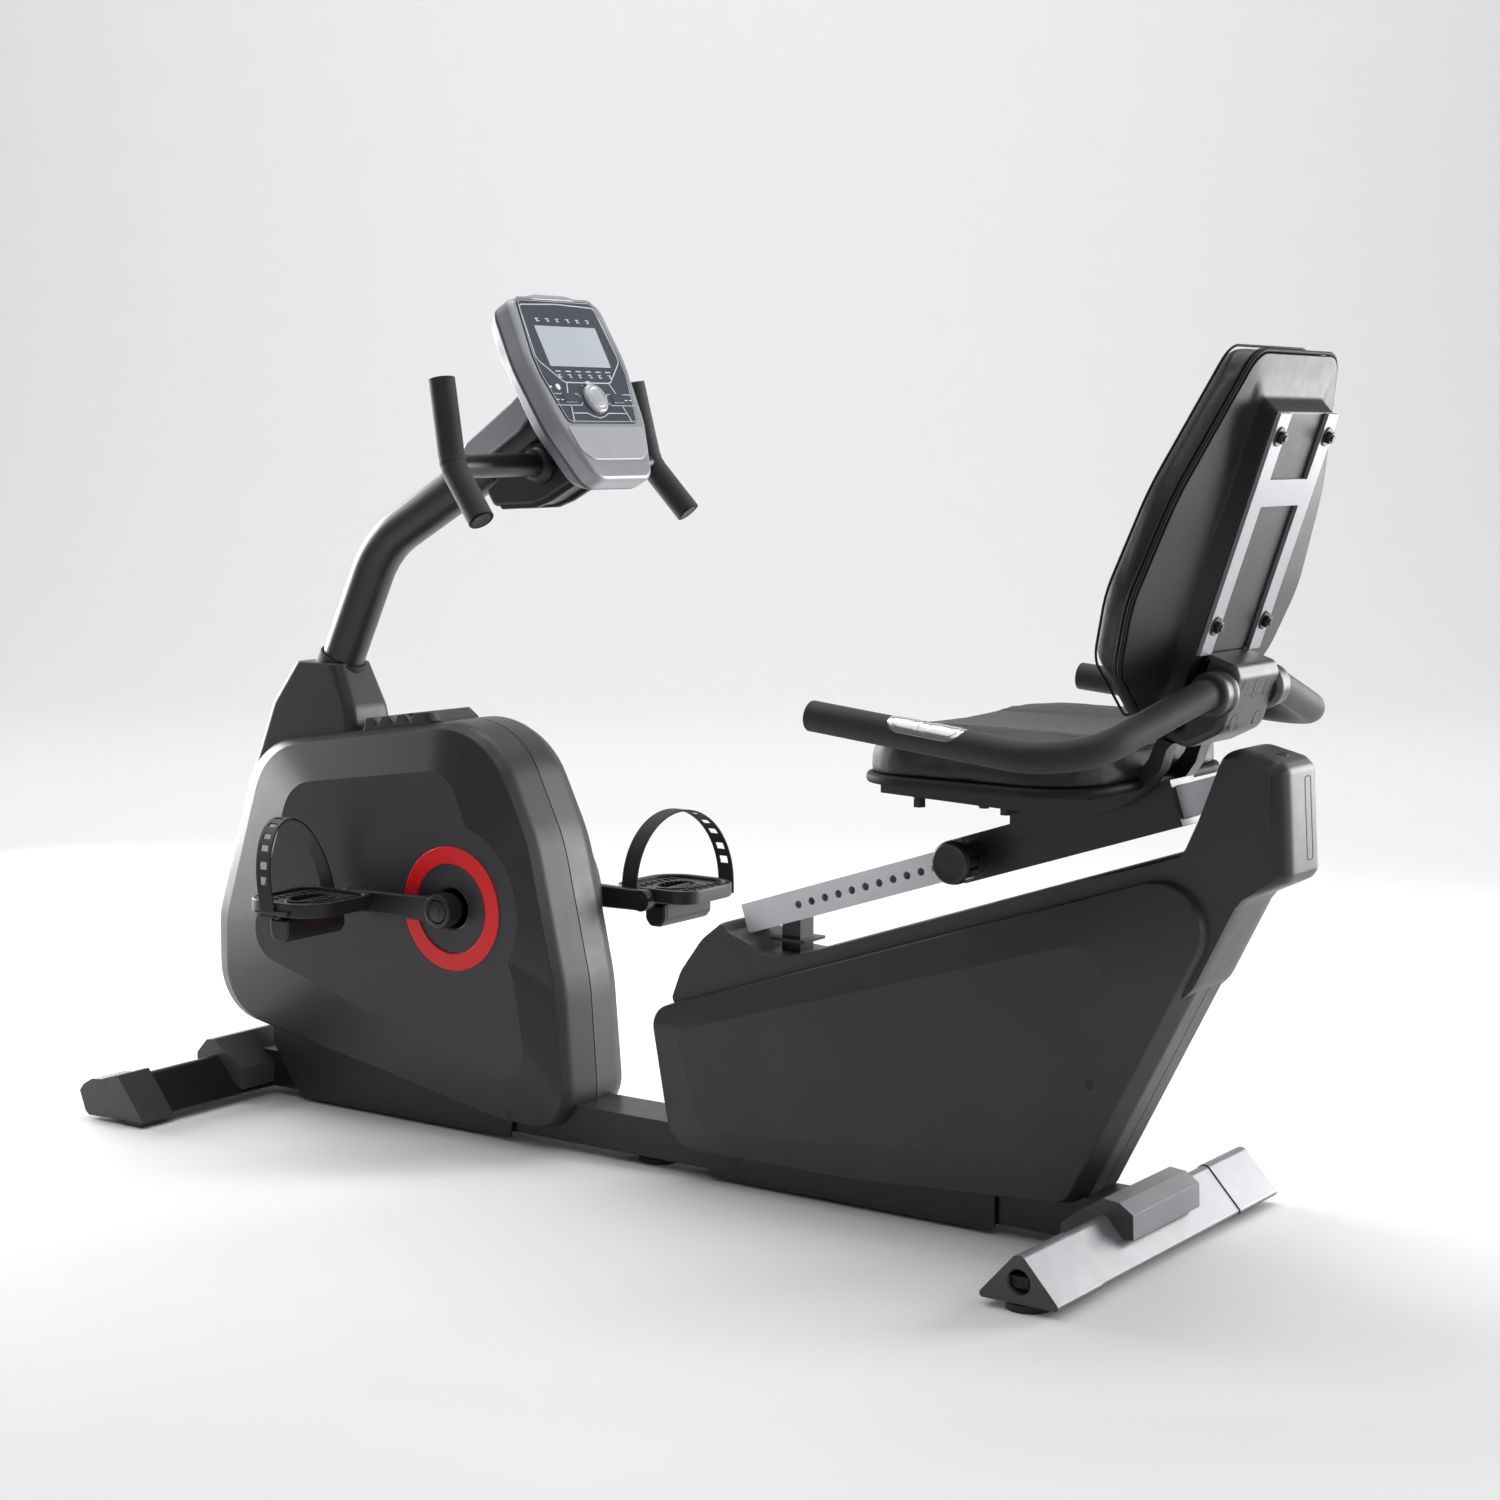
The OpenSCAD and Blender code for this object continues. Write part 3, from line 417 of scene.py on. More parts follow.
M["rubber"] = mat("black_rubber", (0.014, 0.014, 0.015), 0.62, grain=700, bump=0.3)
M["foam"] = mat("foam_grip", (0.017, 0.017, 0.020), 0.66, grain=900, bump=0.55, dist=0.0004,
                sheen=0.1)
M["vinyl"] = mat("black_vinyl", (0.010, 0.010, 0.0115), 0.46, grain=420, bump=0.35,
                 dist=0.00025, kind="leather")
M["piping"] = mat("piping_vinyl", (0.011, 0.011, 0.012), 0.58, grain=600, bump=0.3, spec=0.25,
                  kind="leather")
M["board"] = mat("green_board", (0.02, 0.10, 0.04), 0.5, bump=0.05)
M["pulse"] = mat("pulse_metal", (0.62, 0.62, 0.64), 0.22, metal=1.0, grain=500, bump=0.06,
                 kind="brushed")
# near black for the dark inside holes and slots: painted shade for their depth, not a colour of the
# part
M["hole"] = mat("painted_hole_shade", (0.004, 0.004, 0.005), 0.7, bump=0.05)
M["arm"] = mat("crank_paint", (0.020, 0.020, 0.023), 0.33, grain=500, bump=0.06)
M["weight"] = mat("pedal_weight", (0.10, 0.10, 0.108), 0.26, grain=800, bump=0.05)
M["shell"] = mat("back_shell", (0.011, 0.011, 0.013), 0.42, spec=0.3, grain=1300, bump=0.18)
M["grey2"] = mat("saddle_grey", (0.24, 0.24, 0.255), 0.38, grain=1200, bump=0.08)
M["cast"] = mat("cast_clamp", (0.040, 0.040, 0.045), 0.42, grain=600, bump=0.12)
M["saddle"] = mat("saddle_plastic", (0.075, 0.075, 0.083), 0.40, grain=1400, bump=0.15)
M["cap"] = mat("cap_plastic", (0.065, 0.065, 0.072), 0.40, grain=1400, bump=0.15)
M["floor"] = mat("studio_paper", (0.84, 0.84, 0.845), 0.75, grain=300, bump=0.02, vary=0.004,
                 spec=0.2)

# ---------------------------------------------------------------- CAD nodes with edges softened
def softened(node, body, material, width, segs, angle=38, mat_of=None):
    """A copy of a CAD node with its edges bevelled by width."""
    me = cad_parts[node].data.copy()
    bm = bmesh.new()
    bm.from_mesh(me)
    bmesh.ops.remove_doubles(bm, verts=bm.verts, dist=3e-6)
    bmesh.ops.dissolve_limit(bm, angle_limit=math.radians(1.0), verts=bm.verts,
                             edges=bm.edges, use_dissolve_boundaries=False)
    bm.to_mesh(me)
    bm.free()
    me.materials.clear()
    ob = bpy.data.objects.new(node.replace("_", "-") + "-soft", me)
    bpy.context.scene.collection.objects.link(ob)
    mod = ob.modifiers.new("bevel", "BEVEL")
    mod.width = width / 1000
    mod.segments = segs
    mod.limit_method = "ANGLE"
    mod.angle_limit = math.radians(angle)
    mod.use_clamp_overlap = True
    return finish_piece(applied(ob), material, body, (node,), 32, mat_of)


def loose_object(name, verts, faces):
    """An object of a plain mesh, not yet handed to the frame."""
    me = bpy.data.meshes.new(name)
    me.from_pydata([tuple(v) for v in verts], [], faces)
    me.validate()
    ob = bpy.data.objects.new(name, me)
    bpy.context.scene.collection.objects.link(ob)
    return ob


def thickened(ob, t, up):
    """Turns an open skin into a shell of thickness t, keeping the outer surface."""
    bm = bmesh.new()
    bm.from_mesh(ob.data)
    bmesh.ops.remove_doubles(bm, verts=bm.verts, dist=2e-6)
    bmesh.ops.recalc_face_normals(bm, faces=bm.faces)
    f = max(bm.faces, key=lambda q: q.calc_center_median().dot(up))
    if f.normal.dot(up) < 0:
        bmesh.ops.reverse_faces(bm, faces=bm.faces)
    bm.to_mesh(ob.data)
    bm.free()
    mod = ob.modifiers.new("solid", "SOLIDIFY")
    mod.thickness = t / 1000
    mod.offset = -1
    mod.use_even_offset = False
    mod.use_rim = True
    return applied(ob)


# ---------------------------------------------------------------- covers
CRANK = (-340, 322)
REACH = 170
WALL = 2.6
PANEL_Y = 91
DISC_R = 115
SKIRT = (42.5, 46.5)
SIDES = {-1: "left", 1: "right"}


def cover_half(side, outlines, depths, soft, centre, last):
    """Half a cover: XZ outlines from the middle seam out to the side panel at their depths."""
    ref = dense(outlines[0], 8)
    loops = [follow(ref, o, centre) for o in outlines] + [last(ref)]
    depths = depths + [depths[-1]]
    seam = inset(loops[0], 1.4)
    cols = []
    for j in range(len(ref)):
        ctrl = [V((q[j].x, d, q[j].y)) for q, d in zip(loops, depths)]
        cols.append([V((seam[j].x, 0.25, seam[j].y)), V((ctrl[0].x, 1.0, ctrl[0].z))]
                    + bent(ctrl, soft, 5)[1:])
    s = Shape()
    s.loft([[W(c[i].x, side * c[i].y, c[i].z) for c in cols] for i in range(len(cols[0]))],
           cap0=False, cap1=False)
    return s, ref


def cover_piece(s, end, side, skirt, radii):
    """Makes the half cover in s a shell, and adds the dark skirt along its foot."""
    word = SIDES[side]
    ob = loose_object(end + "-cover-" + word, s.v, s.f)
    thickened(ob, WALL, V((0, side, 0)))
    finish_piece(ob, M["cover"], "frame", [end + "_cover_" + word], angle=24)
    k = Shape()
    k.plate(dense(rounded(skirt, radii, 4), 30), side * SKIRT[0], side * SKIRT[1], 1.2, XZ, n=3)
    k.piece(end + "-skirt-" + word, M["cover2"], "frame")
    return ob


def front_cover(side):
    centre = rounded([(-760, 517.5), (-299, 581.2), (-218, 415), (-174, 225), (-160, 27),
                      (-279, 26), (-850, 118), (-852, 263)],
                     [105, 116, 250, 300, 70, 150, 76, 120], 12)
    middle = rounded([(-748, 519.2), (-301, 580.9), (-222, 415), (-178, 225), (-163, 30),
                      (-279, 28), (-836, 121), (-836, 262)],
                     [105, 118, 250, 300, 72, 150, 80, 120], 12)
    crease = rounded([(-715, 514), (-304, 573), (-227, 415), (-184, 225), (-168, 34),
                      (-279, 35), (-803, 126), (-800, 260)],
                     [105, 120, 250, 300, 75, 150, 85, 120], 12)
    panel = rounded([(-641, 470), (-345, 511), (-232, 235), (-207, 84), (-729, 225)],
                    [60, 50, 100, 40, 45], 14)
    hub = V(CRANK)
    wide = [hub + (q - hub).normalized() * max(DISC_R, (q - hub).length) for q in dense(panel, 4)]

    def hole(ref, r):
        return [hub + (q - hub).normalized() * r for q in ref]
    s, ref = cover_half(side, [centre, middle, crease, wide], [0, 48, 65, PANEL_Y], [34, 4, 2.5],
                        CRANK, lambda ref: hole(ref, 96))
    s.loft([[W(p.x, side * y, p.y) for p in hole(ref, r)]
            for r, y in ((96, PANEL_Y), (58, PANEL_Y), (30, 90.2), (27.6, 89), (27, 86), (27, 82))],
           cap0=False, cap1=False)
    return cover_piece(s, "front", side, [(-729, 124), (-729, 80), (-688, 20), (-666, 5),
                                          (-279, 5), (-275, 23), (-275, 42)],
                       [4, 20, 14, 8, 4, 6, 4])


def rear_cover(side):
    crease = rounded([(-26, 217), (810, 493), (586, 60), (286, 41), (7, 41)],
                     [30, 56, 32, 300, 45], 12)
    centre = rounded([(-30, 217), (822, 493), (599, 56), (286, 39), (4, 39)],
                     [30, 56, 32, 300, 45], 12)
    panel = rounded([(22, 197), (672, 394), (532, 116), (229, 83), (60, 73)],
                    [25, 38, 30, 300, 30], 12)
    mid = (330, 210)
    s, ref = cover_half(side, [centre, centre, crease, panel], [0, 34, 62, 72], [16, 4, 2.5], mid,
                        lambda ref: [V(mid) + (q - V(mid)) * 0.1 for q in ref])
    k = len(ref)
    n = len(s.v) // k
    s.f.append([(n - 1) * k + j for j in range(k)])
    return cover_piece(s, "rear", side, [(57, 60), (57, 8), (64, 5), (476, 5), (483, 12),
                                         (483, 60)], [3, 5, 4, 4, 5, 3])


def screw_hole(s, ob, x, z, side):
    """A countersunk screw well lying on the cover's own surface."""
    r = 4.3
    tree = BVHTree.FromObject(ob, bpy.context.evaluated_depsgraph_get())
    hit, nrm, _, _ = tree.ray_cast(W(x, side * 400, z), V((0, -side, 0)))
    if nrm.y * side < 0:
        nrm = -nrm
    a = nrm.cross(V((0, 0, 1))).normalized()
    b = nrm.cross(a)

    def tf(u, v, h):
        return hit + (a * u + b * v + nrm * h) / 1000
    s.turned([(r + 1.6, -0.6), (r + 1.5, 0.12), (r + 0.7, 0.35), (r, 0.1), (r, -0.4)], tf, 32)
    # the cap inside the well is near black: painted shade for the depth of the screw hole
    s.turned([(r, -0.4), (r, 0.16), (0.01, 0.16)], tf, 32, m=1)


def covers():
    """Both pairs of half covers, their screws and the red rings round the crank."""
    s = Shape()
    for side in (-1, 1):
        front = front_cover(side)
        for x, z in ((-333, 532), (-262, 44)):
            screw_hole(s, front, x, z, side)
    for side in (-1, 1):
        screw_hole(s, rear_cover(side), 620, 209, side)
        for x, z in ((-640, 34), (-292, 24), (97, 28), (441, 28)):
            tf = lambda u, v, h: W(x + u, side * (SKIRT[1] + h), z + v)
            s.turned([(5.6, -0.5), (5.5, 0.2), (4.8, 0.4), (4.2, 0.1), (4.2, -0.3)], tf, 32)
            # the cap inside the well is near black: painted shade for the depth of the screw hole
            s.turned([(4.2, -0.3), (4.2, 0.12), (0.01, 0.12)], tf, 32, m=1)
    s.piece("cover-screws", [M["cover2"], M["hole"]], "frame")
    s = Shape()
    for side in (-1, 1):
        s.loft([[W(q.x, side * y, q.y) for q in circle(r, 128, CRANK)]
                for r, y in ((61.4, 90.2), (61.4, 92.6), (62.2, 93.2), (83.8, 93.2), (84.7, 92.4),
                             (84.7, 90.2), (61.4, 90.2))], cap0=False, cap1=False)
    s.piece("red-rings", M["red"], "frame", ["ring_trims"])


def collar_and_tray():
    """The collar that rises from the front cover round the post, and its gasket."""
    s = Shape()
    layers = [(-764, -556, 49, 476), (-750, -557, 46, 512), (-727, -570, 42, 576),
              (-684, -598, 37, 637)]
    cols = []
    base = [dense_pair(rounded([(a, -w), (b, -w), (b, w), (a, w)], 15, 8), 6)
            for a, b, w, _ in layers]
    for j in range(len(base[0])):
        ctrl = [V((p[j].x, p[j].y, l[3])) for p, l in zip(base, layers)]
        top = V((ctrl[-1].x * 0.93 - 641 * 0.07, ctrl[-1].y * 0.86, 637))
        cols.append(bent(ctrl + [top], [30, 45, 5], 6))
    s.loft([[W(*c[i]) for c in cols] for i in range(len(cols[0]))])
    s.piece("post-collar", M["cover"], "frame", ["post_collar"], angle=40)
    s = Shape()
    lean = math.radians(26)
    tf = frame_tf((-620, 0, 643), (math.cos(lean), 0, -math.sin(lean)), (0, 1, 0),
                  (math.sin(lean), 0, math.cos(lean)))
    s.turned([(31, -16), (36, -16), (35.4, -2), (34, 1.5), (31.5, 2.2), (30.2, 1), (30.2, -16)],
             tf, 48)
    s.piece("collar-gasket", M["rubber"], "frame")
    tray()


def top_line(x):
    """Height of the front cover's sloping top edge."""
    return 517.5 + (x + 760) * 63.7 / 461


def tray():
    """A shallow tray on the cover's top, with three V notches in its near rim."""
    front, half_width, notch_w = -540, 47, 8.5

    def plan(g, x1):
        x0, y = front + g, half_width - g
        return dense(rounded([(x0, -y), (x1, -y), (x1, y), (x0, y)], [3, 12, 12, 3], 6), 1.6)

    def ring(g, x1, up, notch=1.0):
        out = []
        for q in follow(base, plan(g, x1), (-480, 0)):
            near = min(abs(q.x - c) for c in (-514, -484, -454))
            dip = max(0, notch_w - near) if q.y < -30 else 0
            out.append(W(q.x, q.y, top_line(q.x) + up - dip * notch))
        return out
    base = plan(0, -402)
    s = Shape()
    s.loft([ring(0, -402, -6, 0), ring(0, -402, 1.5, 0), ring(0.6, -404, 4, 0),
            ring(1.2, -415, 13.8), ring(1.7, -417, 15.4), ring(2.8, -418.5, 16),
            ring(7.5, -424, 16), ring(8.4, -425, 15.5), ring(9, -425.6, 14.4),
            ring(10.5, -427, 8.6, 0), ring(12, -428.5, 8, 0), ring(30, -446, 8, 0)])
    s.piece("top-tray", M["cover"], "frame", ["top_tray"], 30)


def dense_pair(p, m):
    """Subdivides each long straight side of a rounded rectangle into m parts."""
    out = []
    k = len(p)
    for i in range(k):
        a, b = p[i], p[(i + 1) % k]
        n = m if i % (k // 4) == k // 4 - 1 else 1
        out += [a.lerp(b, j / n) for j in range(n)]
    return out


HAND_R = 15.5
SEAT_BAR_R = 17.5


def end_discs(s, path, profile):
    """A turned rubber plug on each end of a bar that runs along path."""
    for p, q in ((path[0], path[1]), (path[-1], path[-2])):
        d = (p - q).normalized()
        a = d.cross(V((0, 1, 0))).normalized()
        b = d.cross(a)
        s.turned(profile, lambda u, v, h: W(*(p + a * u + b * v + d * h)), 40, m=1)


# ---------------------------------------------------------------- console mast
POST = bent([(-672.6, 0, 535.1), (-541, 0, 805.5), (-213.5, 0, 987)], [150], 22)


def mast():
    """The bent post, the hand bar with its foam, the clamp and the neck cover."""
    s = Shape()
    s.tube(dense(POST, 12, closed=False), 30, sides=56, edge=1.5)
    s.piece("console-post", M["post"], "frame", ["console_post"], angle=50)
    s = Shape()
    s.tube(dense([(-227, -203, 918), (-227, 203, 918)], 20, closed=False), HAND_R, ref=(1, 0, 0),
           sides=40)
    for side in (-1, 1):
        tf = lambda u, v, h: W(-227 + u, side * h, 918 + v)
        s.turned([(12, 28), (25, 28), (25.5, 34), (24.5, 40), (21, 44.5), (17, 46.2), (15.2, 46.2)],
                 tf, 48)
    s.piece("hand-bar", M["black"], "frame", ["console_bar"], angle=50)
    s = Shape()
    for side in (-1, 1):
        path = bent([(-251, side * 197, 1028), (-227, side * 205, 918),
                     (-170, side * 217, 851)], [60], 18)
        path = dense(path, 5, closed=False)
        n = len(path)
        s.tube(path, lambda i: 17.0 - 0.35 * math.sin(i * 0.9) * math.exp(-((i - n / 2) / 7) ** 2),
               sides=44, edge=2.6)
        end_discs(s, path, [(12.4, -0.4), (12.2, 0.55), (11.4, 0.9), (9, 0.35), (0.01, 0.3)])
    s.piece("foam-grips", [M["foam"], M["rubber"]], "frame", ["console_grips"],
            angle=50)
    s = Shape()
    clamp = rounded([(-327, 884), (-312, 862), (-242, 865), (-222, 872), (-176, 896),
                     (-151, 904), (-185, 955), (-250, 945)], [6, 9, 30, 30, 14, 5, 5, 5], 6)
    s.plate(dense(clamp, 12), -30, 30, 6, XZ, n=5)
    rib = rounded([(-318, 876), (-300, 858), (-240, 861), (-214, 870), (-170, 893), (-163, 900),
                   (-220, 884), (-246, 875), (-300, 873)], 3, 3)
    for y in (-26, 18):
        s.plate(rib, y, y + 8, 2, XZ, n=2)
    s.piece("console-clamp", M["dark"], "frame", ["console_clamp"], angle=40)
    s = Shape()
    neck = rounded([(-372, 910), (-358, 945), (-276, 1000), (-236, 1034), (-226, 1000),
                    (-262, 962), (-360, 902)], [5, 22, 90, 5, 5, 40, 8], 10)
    s.plate(dense(neck, 8), -36, 36, 5, XZ, n=5)
    s.piece("neck-cover", M["silver"], "frame", ["neck_cover"], angle=40)
    s = Shape()
    # a near-black plate on the neck cover: painted shade for the depth of its slot
    slot = rounded([(-11, -2.2), (11, -2.2), (11, 2.2), (-11, 2.2)], 2.1, 5)
    t = V((82, 0, 55)).normalized()
    nrm = V((-t.z, 0, t.x))
    base = V((-331, -27, 963.1)) + nrm * 0.1
    s.plate(slot, -3, 0.35, 0.1, lambda u, v, h: W(*(base + t * u * 0.9 + V((0, 1, 0)) * v
                                                     + nrm * h)), n=2)
    s.piece("neck-slot-shade", M["hole"], "frame")


# ---------------------------------------------------------------- console
HOUSING = mirror2([(58, -195), (72, -160), (92, -111), (104, -18), (95, 68), (30, 80)])
HOUSE_R = [26, 60, 120, 160, 20, 60, 60, 20, 160, 120, 60, 26]
FACE = mirror2([(72, -112), (90, -43), (91, -14), (78, 69)])
FACE_R = [10, 20, 20, 10, 10, 20, 20, 10]
HUB = (0, -50)
DIAL_Z = -78


def console():
    """The console housing and panel, and the dial and keys that move on their own."""
    ref = dense(rounded(HOUSING, HOUSE_R, 12), 4)
    face = follow(ref, rounded(FACE, FACE_R, 10), HUB)
    s = Shape()

    def ring(p, d):
        return [CON(q.x, q.y, d) for q in p]
    rings = [ring(inset(ref, 4), -24.6), ring(ref, -24.6), ring(ref, -8)]
    for i in range(1, 8):
        t = math.pi / 2 * i / 7
        rings.append(ring(inset(ref, 7.5 * (1 - math.cos(t))), -7.5 + 7.5 * math.sin(t)))
    big = inset(face, -1.6)
    for q, d in ((inset(face, -3.4), 0.05), (big, -0.1), (inset(face, -0.4), -0.9),
                 (face, -1.6)):
        rings.append(ring(q, d))
    s.loft(rings)
    s.piece("console-front", M["silver"], "frame", ["console_front"], 30)
    s = Shape()
    back = follow(ref, rounded(mirror2([(50, -180), (84, -100), (92, 10), (84, 58)]),
                               [24, 100, 120, 22, 22, 120, 100, 24], 10), HUB)
    cols = []
    edge = inset(ref, 0.9)
    for j in range(len(ref)):
        e, q = edge[j], back[j]
        c = V(HUB).lerp(q, 0.5)
        cols.append(bent([V((e.x, e.y, -25.4)), V((e.x, e.y, -30)), V((q.x, q.y, -50)),
                          V((c.x, c.y, -50))], [6, 9], 6))
    s.loft([[CON(*c[i]) for c in cols] for i in range(len(cols[0]))])
    s.piece("console-back", M["conback"], "frame", ["console_back"], 30)
    # the face panel with its window, printed lines and icons
    s = Shape()
    s.plate(dense(rounded(FACE, FACE_R, 8), 8), -1.5, 0.5, 0.5, CON, n=2)
    s.piece("face-panel", M["face"], "frame", ["faceplate"], 40)
    s = Shape()
    s.box((0, 0, 0.4), (126, 59.3, 1.2), CON, 0.4)
    s.piece("display-window", M["lcd"], "frame")
    s = Shape()
    line = lambda pts, w, m=0, closed=False: s.ribbon(pts, w, CON, 0.3, 0.78, closed, m)
    rim = inset(dense(rounded(FACE, FACE_R, 8), 6), 2.2)
    line(rim, 0.7, 1, True)
    left = bent([V((-49, -52)), V((-86, -20)), V((-77, 60)), V((0, 63))], [14, 7], 8)
    line(left, 1.5)
    line([(-p.x, p.y) for p in left], 1.5)
    line([(-49, -52), (-43, -53.4), (42, -53.4), (49, -52)], 1.5)
    for side in (-1, 1):
        line([(side * 44, -54), (side * 51, -71)], 1.8)
        line([(side * 54, -88), (side * 60, -109.5)], 1.8)
    line([(-55, -98), (-26, -98), (-17, -102), (-4, -105), (6, -103), (18, -98), (54, -98)], 1.3)
    for side in (-1, 1):
        line([(side * 80, -70), (side * 31, -70), (side * 27, -74)], 0.9, 2)
        line([(side * 82, -86.5), (side * 31, -86.5), (side * 27, -82.5)], 0.9, 2)

    def mark(x, z, w, h, m=1):
        """A small bar of print that stands for a sign on the faceplate."""
        s.box((x, z, 0.5), (w, h, 0.5), CON, 0.2, m)
    for i in range(6):
        x = -52 + i * 20.8
        mark(x, -37, 11, 1.6)
        for z in (38.5, -44):
            mark(x, z + 2, 7.5, 1.2)
            mark(x + (i % 2) * 2 - 1, z, 2.2, 5.5)
            mark(x + 2.6 - (i % 3), z - 1.6, 4.6, 1.3)
    for x in (-76, -65.5, 66, 76):
        mark(x, -78.5, 6.5, 1.5)
    mark(-14, -57.5, 3, 0.8, 0)
    mark(14, -57.5, 3, 0.8, 0)
    mark(14, -57.5, 0.8, 3, 0)
    s.box((0, -53.4, 0.7), (9, 5, 0.5), CON, 0.2, 3)
    s.box((0, -53.4, 0.9), (5, 1.6, 0.5), CON, 0.2, 1)
    s.box((-80, -60, 0.5), (5, 3.2, 0.5), CON, 0.3, 1)
    s.piece("face-print", [M["print"], M["icon"], M["redprint"], M["face"]], "frame")
    s = Shape()
    tf = lambda u, v, h: CON(-65 + u, -60 + v, 0.5 + h)
    s.turned([(4.4, -0.2), (4.4, 0.35), (3.9, 0.6), (3.0, 0.5)], tf, 32, m=1)
    s.turned([(3.1, 0), (3.1, 0.7), (2.2, 1.3), (0.01, 1.5)], tf, 32)
    s.piece("pulse-lamp", [M["lamp"], M["redprint"]], "frame")
    s = Shape()
    low = rounded([(-79, -117.5), (-70, -153), (-51, -166), (51, -166), (70, -153),
                   (79, -117.5)], [5, 22, 26, 26, 22, 5], 8)
    s.plate(dense(low, 6), -2, 1.6, 1.4, CON, n=4, r0=0.2)
    s.piece("console-lower-panel", M["silver2"], "frame")
    # the dial and the two keys ride on their own bodies
    s = Shape()
    tf = lambda u, v, h: CON(u, DIAL_Z + v, h)
    s.turned([(20.6, 0.9), (21, 1.4), (20.8, 4.4), (19.6, 6.2), (17.6, 7), (15.2, 6.8),
              (14.2, 6.1), (13.6, 6.0), (12.8, 6.8), (6, 7.4), (0.01, 7.5)], tf, 64)
    s.turned([(3, -9), (3, 1.2)], tf, 24)

    def studs(n, start, r, size, at, soft, m):
        """n small blocks round the dial at the radius r, for its knurl and its marks."""
        for i in range(n):
            a = i * 2 * math.pi / n + start
            s.box((0, 0, 0), size, lambda u, v, h: tf(
                (r + u) * math.cos(a) - v * math.sin(a),
                (r + u) * math.sin(a) + v * math.cos(a), at + h), soft, m)
    studs(30, 0, 20.5, (1.2, 0.9, 3), 2.8, 0.3, 0)
    studs(9, 0.2, 17.2, (2.4, 4.6, 1), 6.9, 0.4, 1)
    s.piece("console-dial", [M["silver2"], M["icon"]], "dial_body", ["dial"], 40)
    for side, word in SIDES.items():
        s = Shape()
        key = rounded([(-12.9, -6.9), (12.9, -6.9), (12.9, 6.9), (-12.9, 6.9)], 2, 5)
        s.plate(dense(key, 5), -2.9, 1.55, 0.9,
                lambda u, v, h: CON(side * 50 + u, -76 + v, h), n=4, r0=0.3)
        for x, w in ((-4, 5), (3.4, 6)):
            s.box((side * 50 + x, -76, 1.5), (w, 1.5, 0.5), CON, 0.2, 1)
        s.box((side * 50, -76, -5.6), (20, 10, 5.6), CON, 0.4)
        s.piece("console-key-" + word, [M["face"], M["icon"]], word + "_key",
                ["key_" + word], 40)


# ---------------------------------------------------------------- drive: cranks and pedals
def cranks():
    """Both crank arms with their hubs, caps and pedal pins."""
    s = Shape()
    for side in (-1, 1):
        px = CRANK[0] + side * REACH
        pts = []
        for x, r, start in ((CRANK[0], 17.5, 90 * side), (px, 14.5, -90 * side)):
            for i in range(25):
                t = math.radians(start + 180 * i / 24)
                pts.append(V((x + r * math.cos(t), CRANK[1] + r * math.sin(t))))
        s.plate(dense(pts, 12), side * 104, side * 117.6, 3.6, XZ, n=5)
        hub = lambda u, v, h: W(CRANK[0] + u, side * h, CRANK[1] + v)
        s.turned([(17, 99.5), (22.5, 99.5), (23.6, 101), (23.6, 119.5), (22.4, 121.6),
                  (20, 122.6), (17.4, 122.6), (16, 120.6), (15, 119.4)], hub, 56)
        s.turned([(15.2, 119.3), (14.6, 121.2), (12.8, 122.2), (0.01, 122.4)], hub, 48, m=1)
        s.plate(circle(7.5, 6), 121.5, 123.2, 0.5, hub, n=2, m=1)
        s.turned([(18, 93.9), (21.5, 94.1), (22, 95), (22, 99.8)], hub, 48, m=2)
        eye = lambda u, v, h: W(px + u, side * h, CRANK[1] + v)
        s.turned([(13, 103.2), (14.9, 103.6), (15, 104.5), (15, 117), (14, 118), (9, 118)],
                 eye, 48)
        s.turned([(8.6, 117), (8.6, 120.4), (6, 120.8), (6, 249), (5, 250), (0.01, 250)],
                 eye, 32, m=1)
        s.turned([(0.01, 102.9), (6, 102.9), (6.4, 103.4)], eye, 24, m=1)
    s.piece("crank-arms", [M["arm"], M["black"], M["rubber"]], "crank", ["crank_arms"],
            35)


